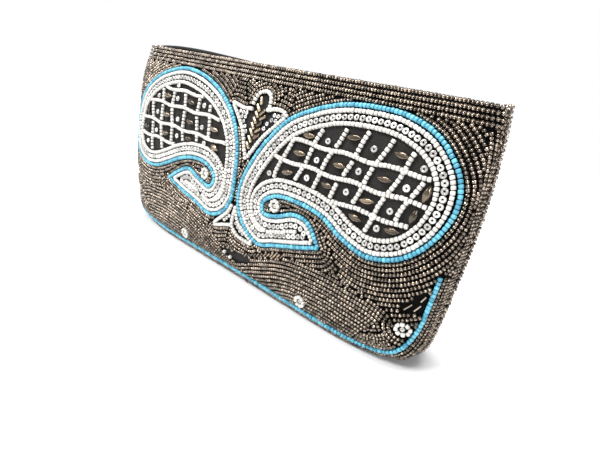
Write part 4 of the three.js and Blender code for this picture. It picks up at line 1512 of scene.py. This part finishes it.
class PURSE_OT_paisleys(bpy.types.Operator):
    """Bead the paisleys: blue outlines, white bands, lattices and oval beads"""

    bl_idname = "purse.paisleys"
    bl_label = "Paisleys"

    def execute(self, context):
        for name in PAISLEYS:
            bead_piece(context, f"outline_{name}_beads", "blue", "blue_beads", f"paisley_outline_{name}")
            bead_piece(context, f"band_{name}_beads", "white", "white_beads", f"paisley_band_{name}")
            bead_piece(context, f"band_{name}_rings", "pearl", "white_beads", f"paisley_band_{name}")
            bead_piece(context, f"lattice_{name}_beads", "white", "white_beads", f"lattice_{name}")
            bead_piece(context, f"lattice_{name}_rings", "pearl", "white_beads")
            ovals = [f"oval_bead_{name}_{k + 1:02d}" for k in range(len(OVALS[name]))]
            bead_piece(context, f"oval_{name}_beads", "oval", "oval_beads", *ovals)
        return {"FINISHED"}


class PURSE_OT_flower(bpy.types.Operator):
    """Bead the tulip over the middle and the petals under it"""

    bl_idname = "purse.flower"
    bl_label = "Flower"

    def execute(self, context):
        bead_piece(context, "tulip_beads", "white", "white_beads", "tulip")
        bead_piece(context, "tulip_rings", "pearl", "white_beads")
        bead_piece(context, "petal_beads", "white", "white_beads", "lower_petals")
        bead_piece(context, "petal_rings", "pearl", "white_beads", "lower_petals")
        bead_piece(context, "gold_bugles", "gold", "oval_beads")
        bead_piece(context, "brown_bugles", "oval", "oval_beads")
        return {"FINISHED"}


class PURSE_OT_hem(bpy.types.Operator):
    """Bead the blue hem line and the daisies"""

    bl_idname = "purse.hem"
    bl_label = "Hem and daisies"

    def execute(self, context):
        bead_piece(context, "hem_beads", "blue", "blue_beads", "hem_line")
        bead_piece(context, "white_dots", "white", "white_beads")
        bead_piece(context, "hem_bugles", "bronze", "bronze_beads")
        for name in DAISIES:
            bead_piece(context, f"{name}_beads", "white", "white_beads", name)
        return {"FINISHED"}


class PURSE_OT_ground(bpy.types.Operator):
    """Bead the bronze ground in rows"""

    bl_idname = "purse.ground"
    bl_label = "Bronze ground"

    def execute(self, context):
        bead_piece(context, "ground_upper_beads", "bronze", "bronze_beads", "bead_ground_upper")
        for name in ("left", "right", "end"):
            bead_piece(context, f"ground_{name}_beads", "bronze", "bronze_beads", "bead_ground_lower")
        bead_piece(context, "wave_bugles", "oval", "oval_beads")
        return {"FINISHED"}


class PURSE_OT_rope(bpy.types.Operator):
    """Whip the seams with beads"""

    bl_idname = "purse.rope"
    bl_label = "Beaded edge"

    def execute(self, context):
        bead_piece(context, "rope_beads", "bronze", "bronze_beads", "edge_rope")
        return {"FINISHED"}


class PURSE_OT_stage(bpy.types.Operator):
    """Set the camera, the floor and the lamps"""

    bl_idname = "purse.stage"
    bl_label = "Stage"

    def execute(self, context):
        settings = context.scene.purse_stage
        set_camera(settings)
        deselect()
        bpy.ops.mesh.primitive_grid_add(x_subdivisions=8, y_subdivisions=8, size=settings.floor_size)
        floor = context.object
        floor.name = "floor"
        floor.data.materials.append(floor_material(tuple(settings.floor)))
        context.scene.world = studio_world()
        for name, (place, width, power) in LAMPS.items():
            add_lamp(name, place, width, power)
        context.scene.view_settings.view_transform = "Standard"
        return {"FINISHED"}


class PURSE_PT_panel(bpy.types.Panel):
    """The purse's pieces, one button each"""

    bl_label = "Beaded velvet purse"
    bl_idname = "PURSE_PT_panel"
    bl_space_type = "VIEW_3D"
    bl_region_type = "UI"
    bl_category = "Purse"

    def draw(self, context):
        for operator in OPERATORS:
            self.layout.operator(operator.bl_idname)
        for group in (context.scene.purse_beads, context.scene.purse_stage):
            for name in group.bl_rna.properties.keys():
                if name not in ("rna_type", "name"):
                    self.layout.prop(group, name)


OPERATORS = (
    PURSE_OT_stage,
    PURSE_OT_velvet,
    PURSE_OT_paisleys,
    PURSE_OT_flower,
    PURSE_OT_hem,
    PURSE_OT_ground,
    PURSE_OT_rope,
)
CLASSES = (PurseBeads, PurseStage, *OPERATORS, PURSE_PT_panel)


def register():
    """Registers the classes and their settings."""
    for item in CLASSES:
        bpy.utils.register_class(item)
    bpy.types.Scene.purse_beads = bpy.props.PointerProperty(type=PurseBeads)
    bpy.types.Scene.purse_stage = bpy.props.PointerProperty(type=PurseStage)


def unregister():
    """Takes the settings and the classes out again."""
    del bpy.types.Scene.purse_stage
    del bpy.types.Scene.purse_beads
    for item in reversed(CLASSES):
        bpy.utils.unregister_class(item)


def main():
    """Builds the purse on its stage."""
    register()
    for operator in OPERATORS:
        group, name = operator.bl_idname.split(".")
        getattr(getattr(bpy.ops, group), name)()


if __name__ == "__main__":
    main()
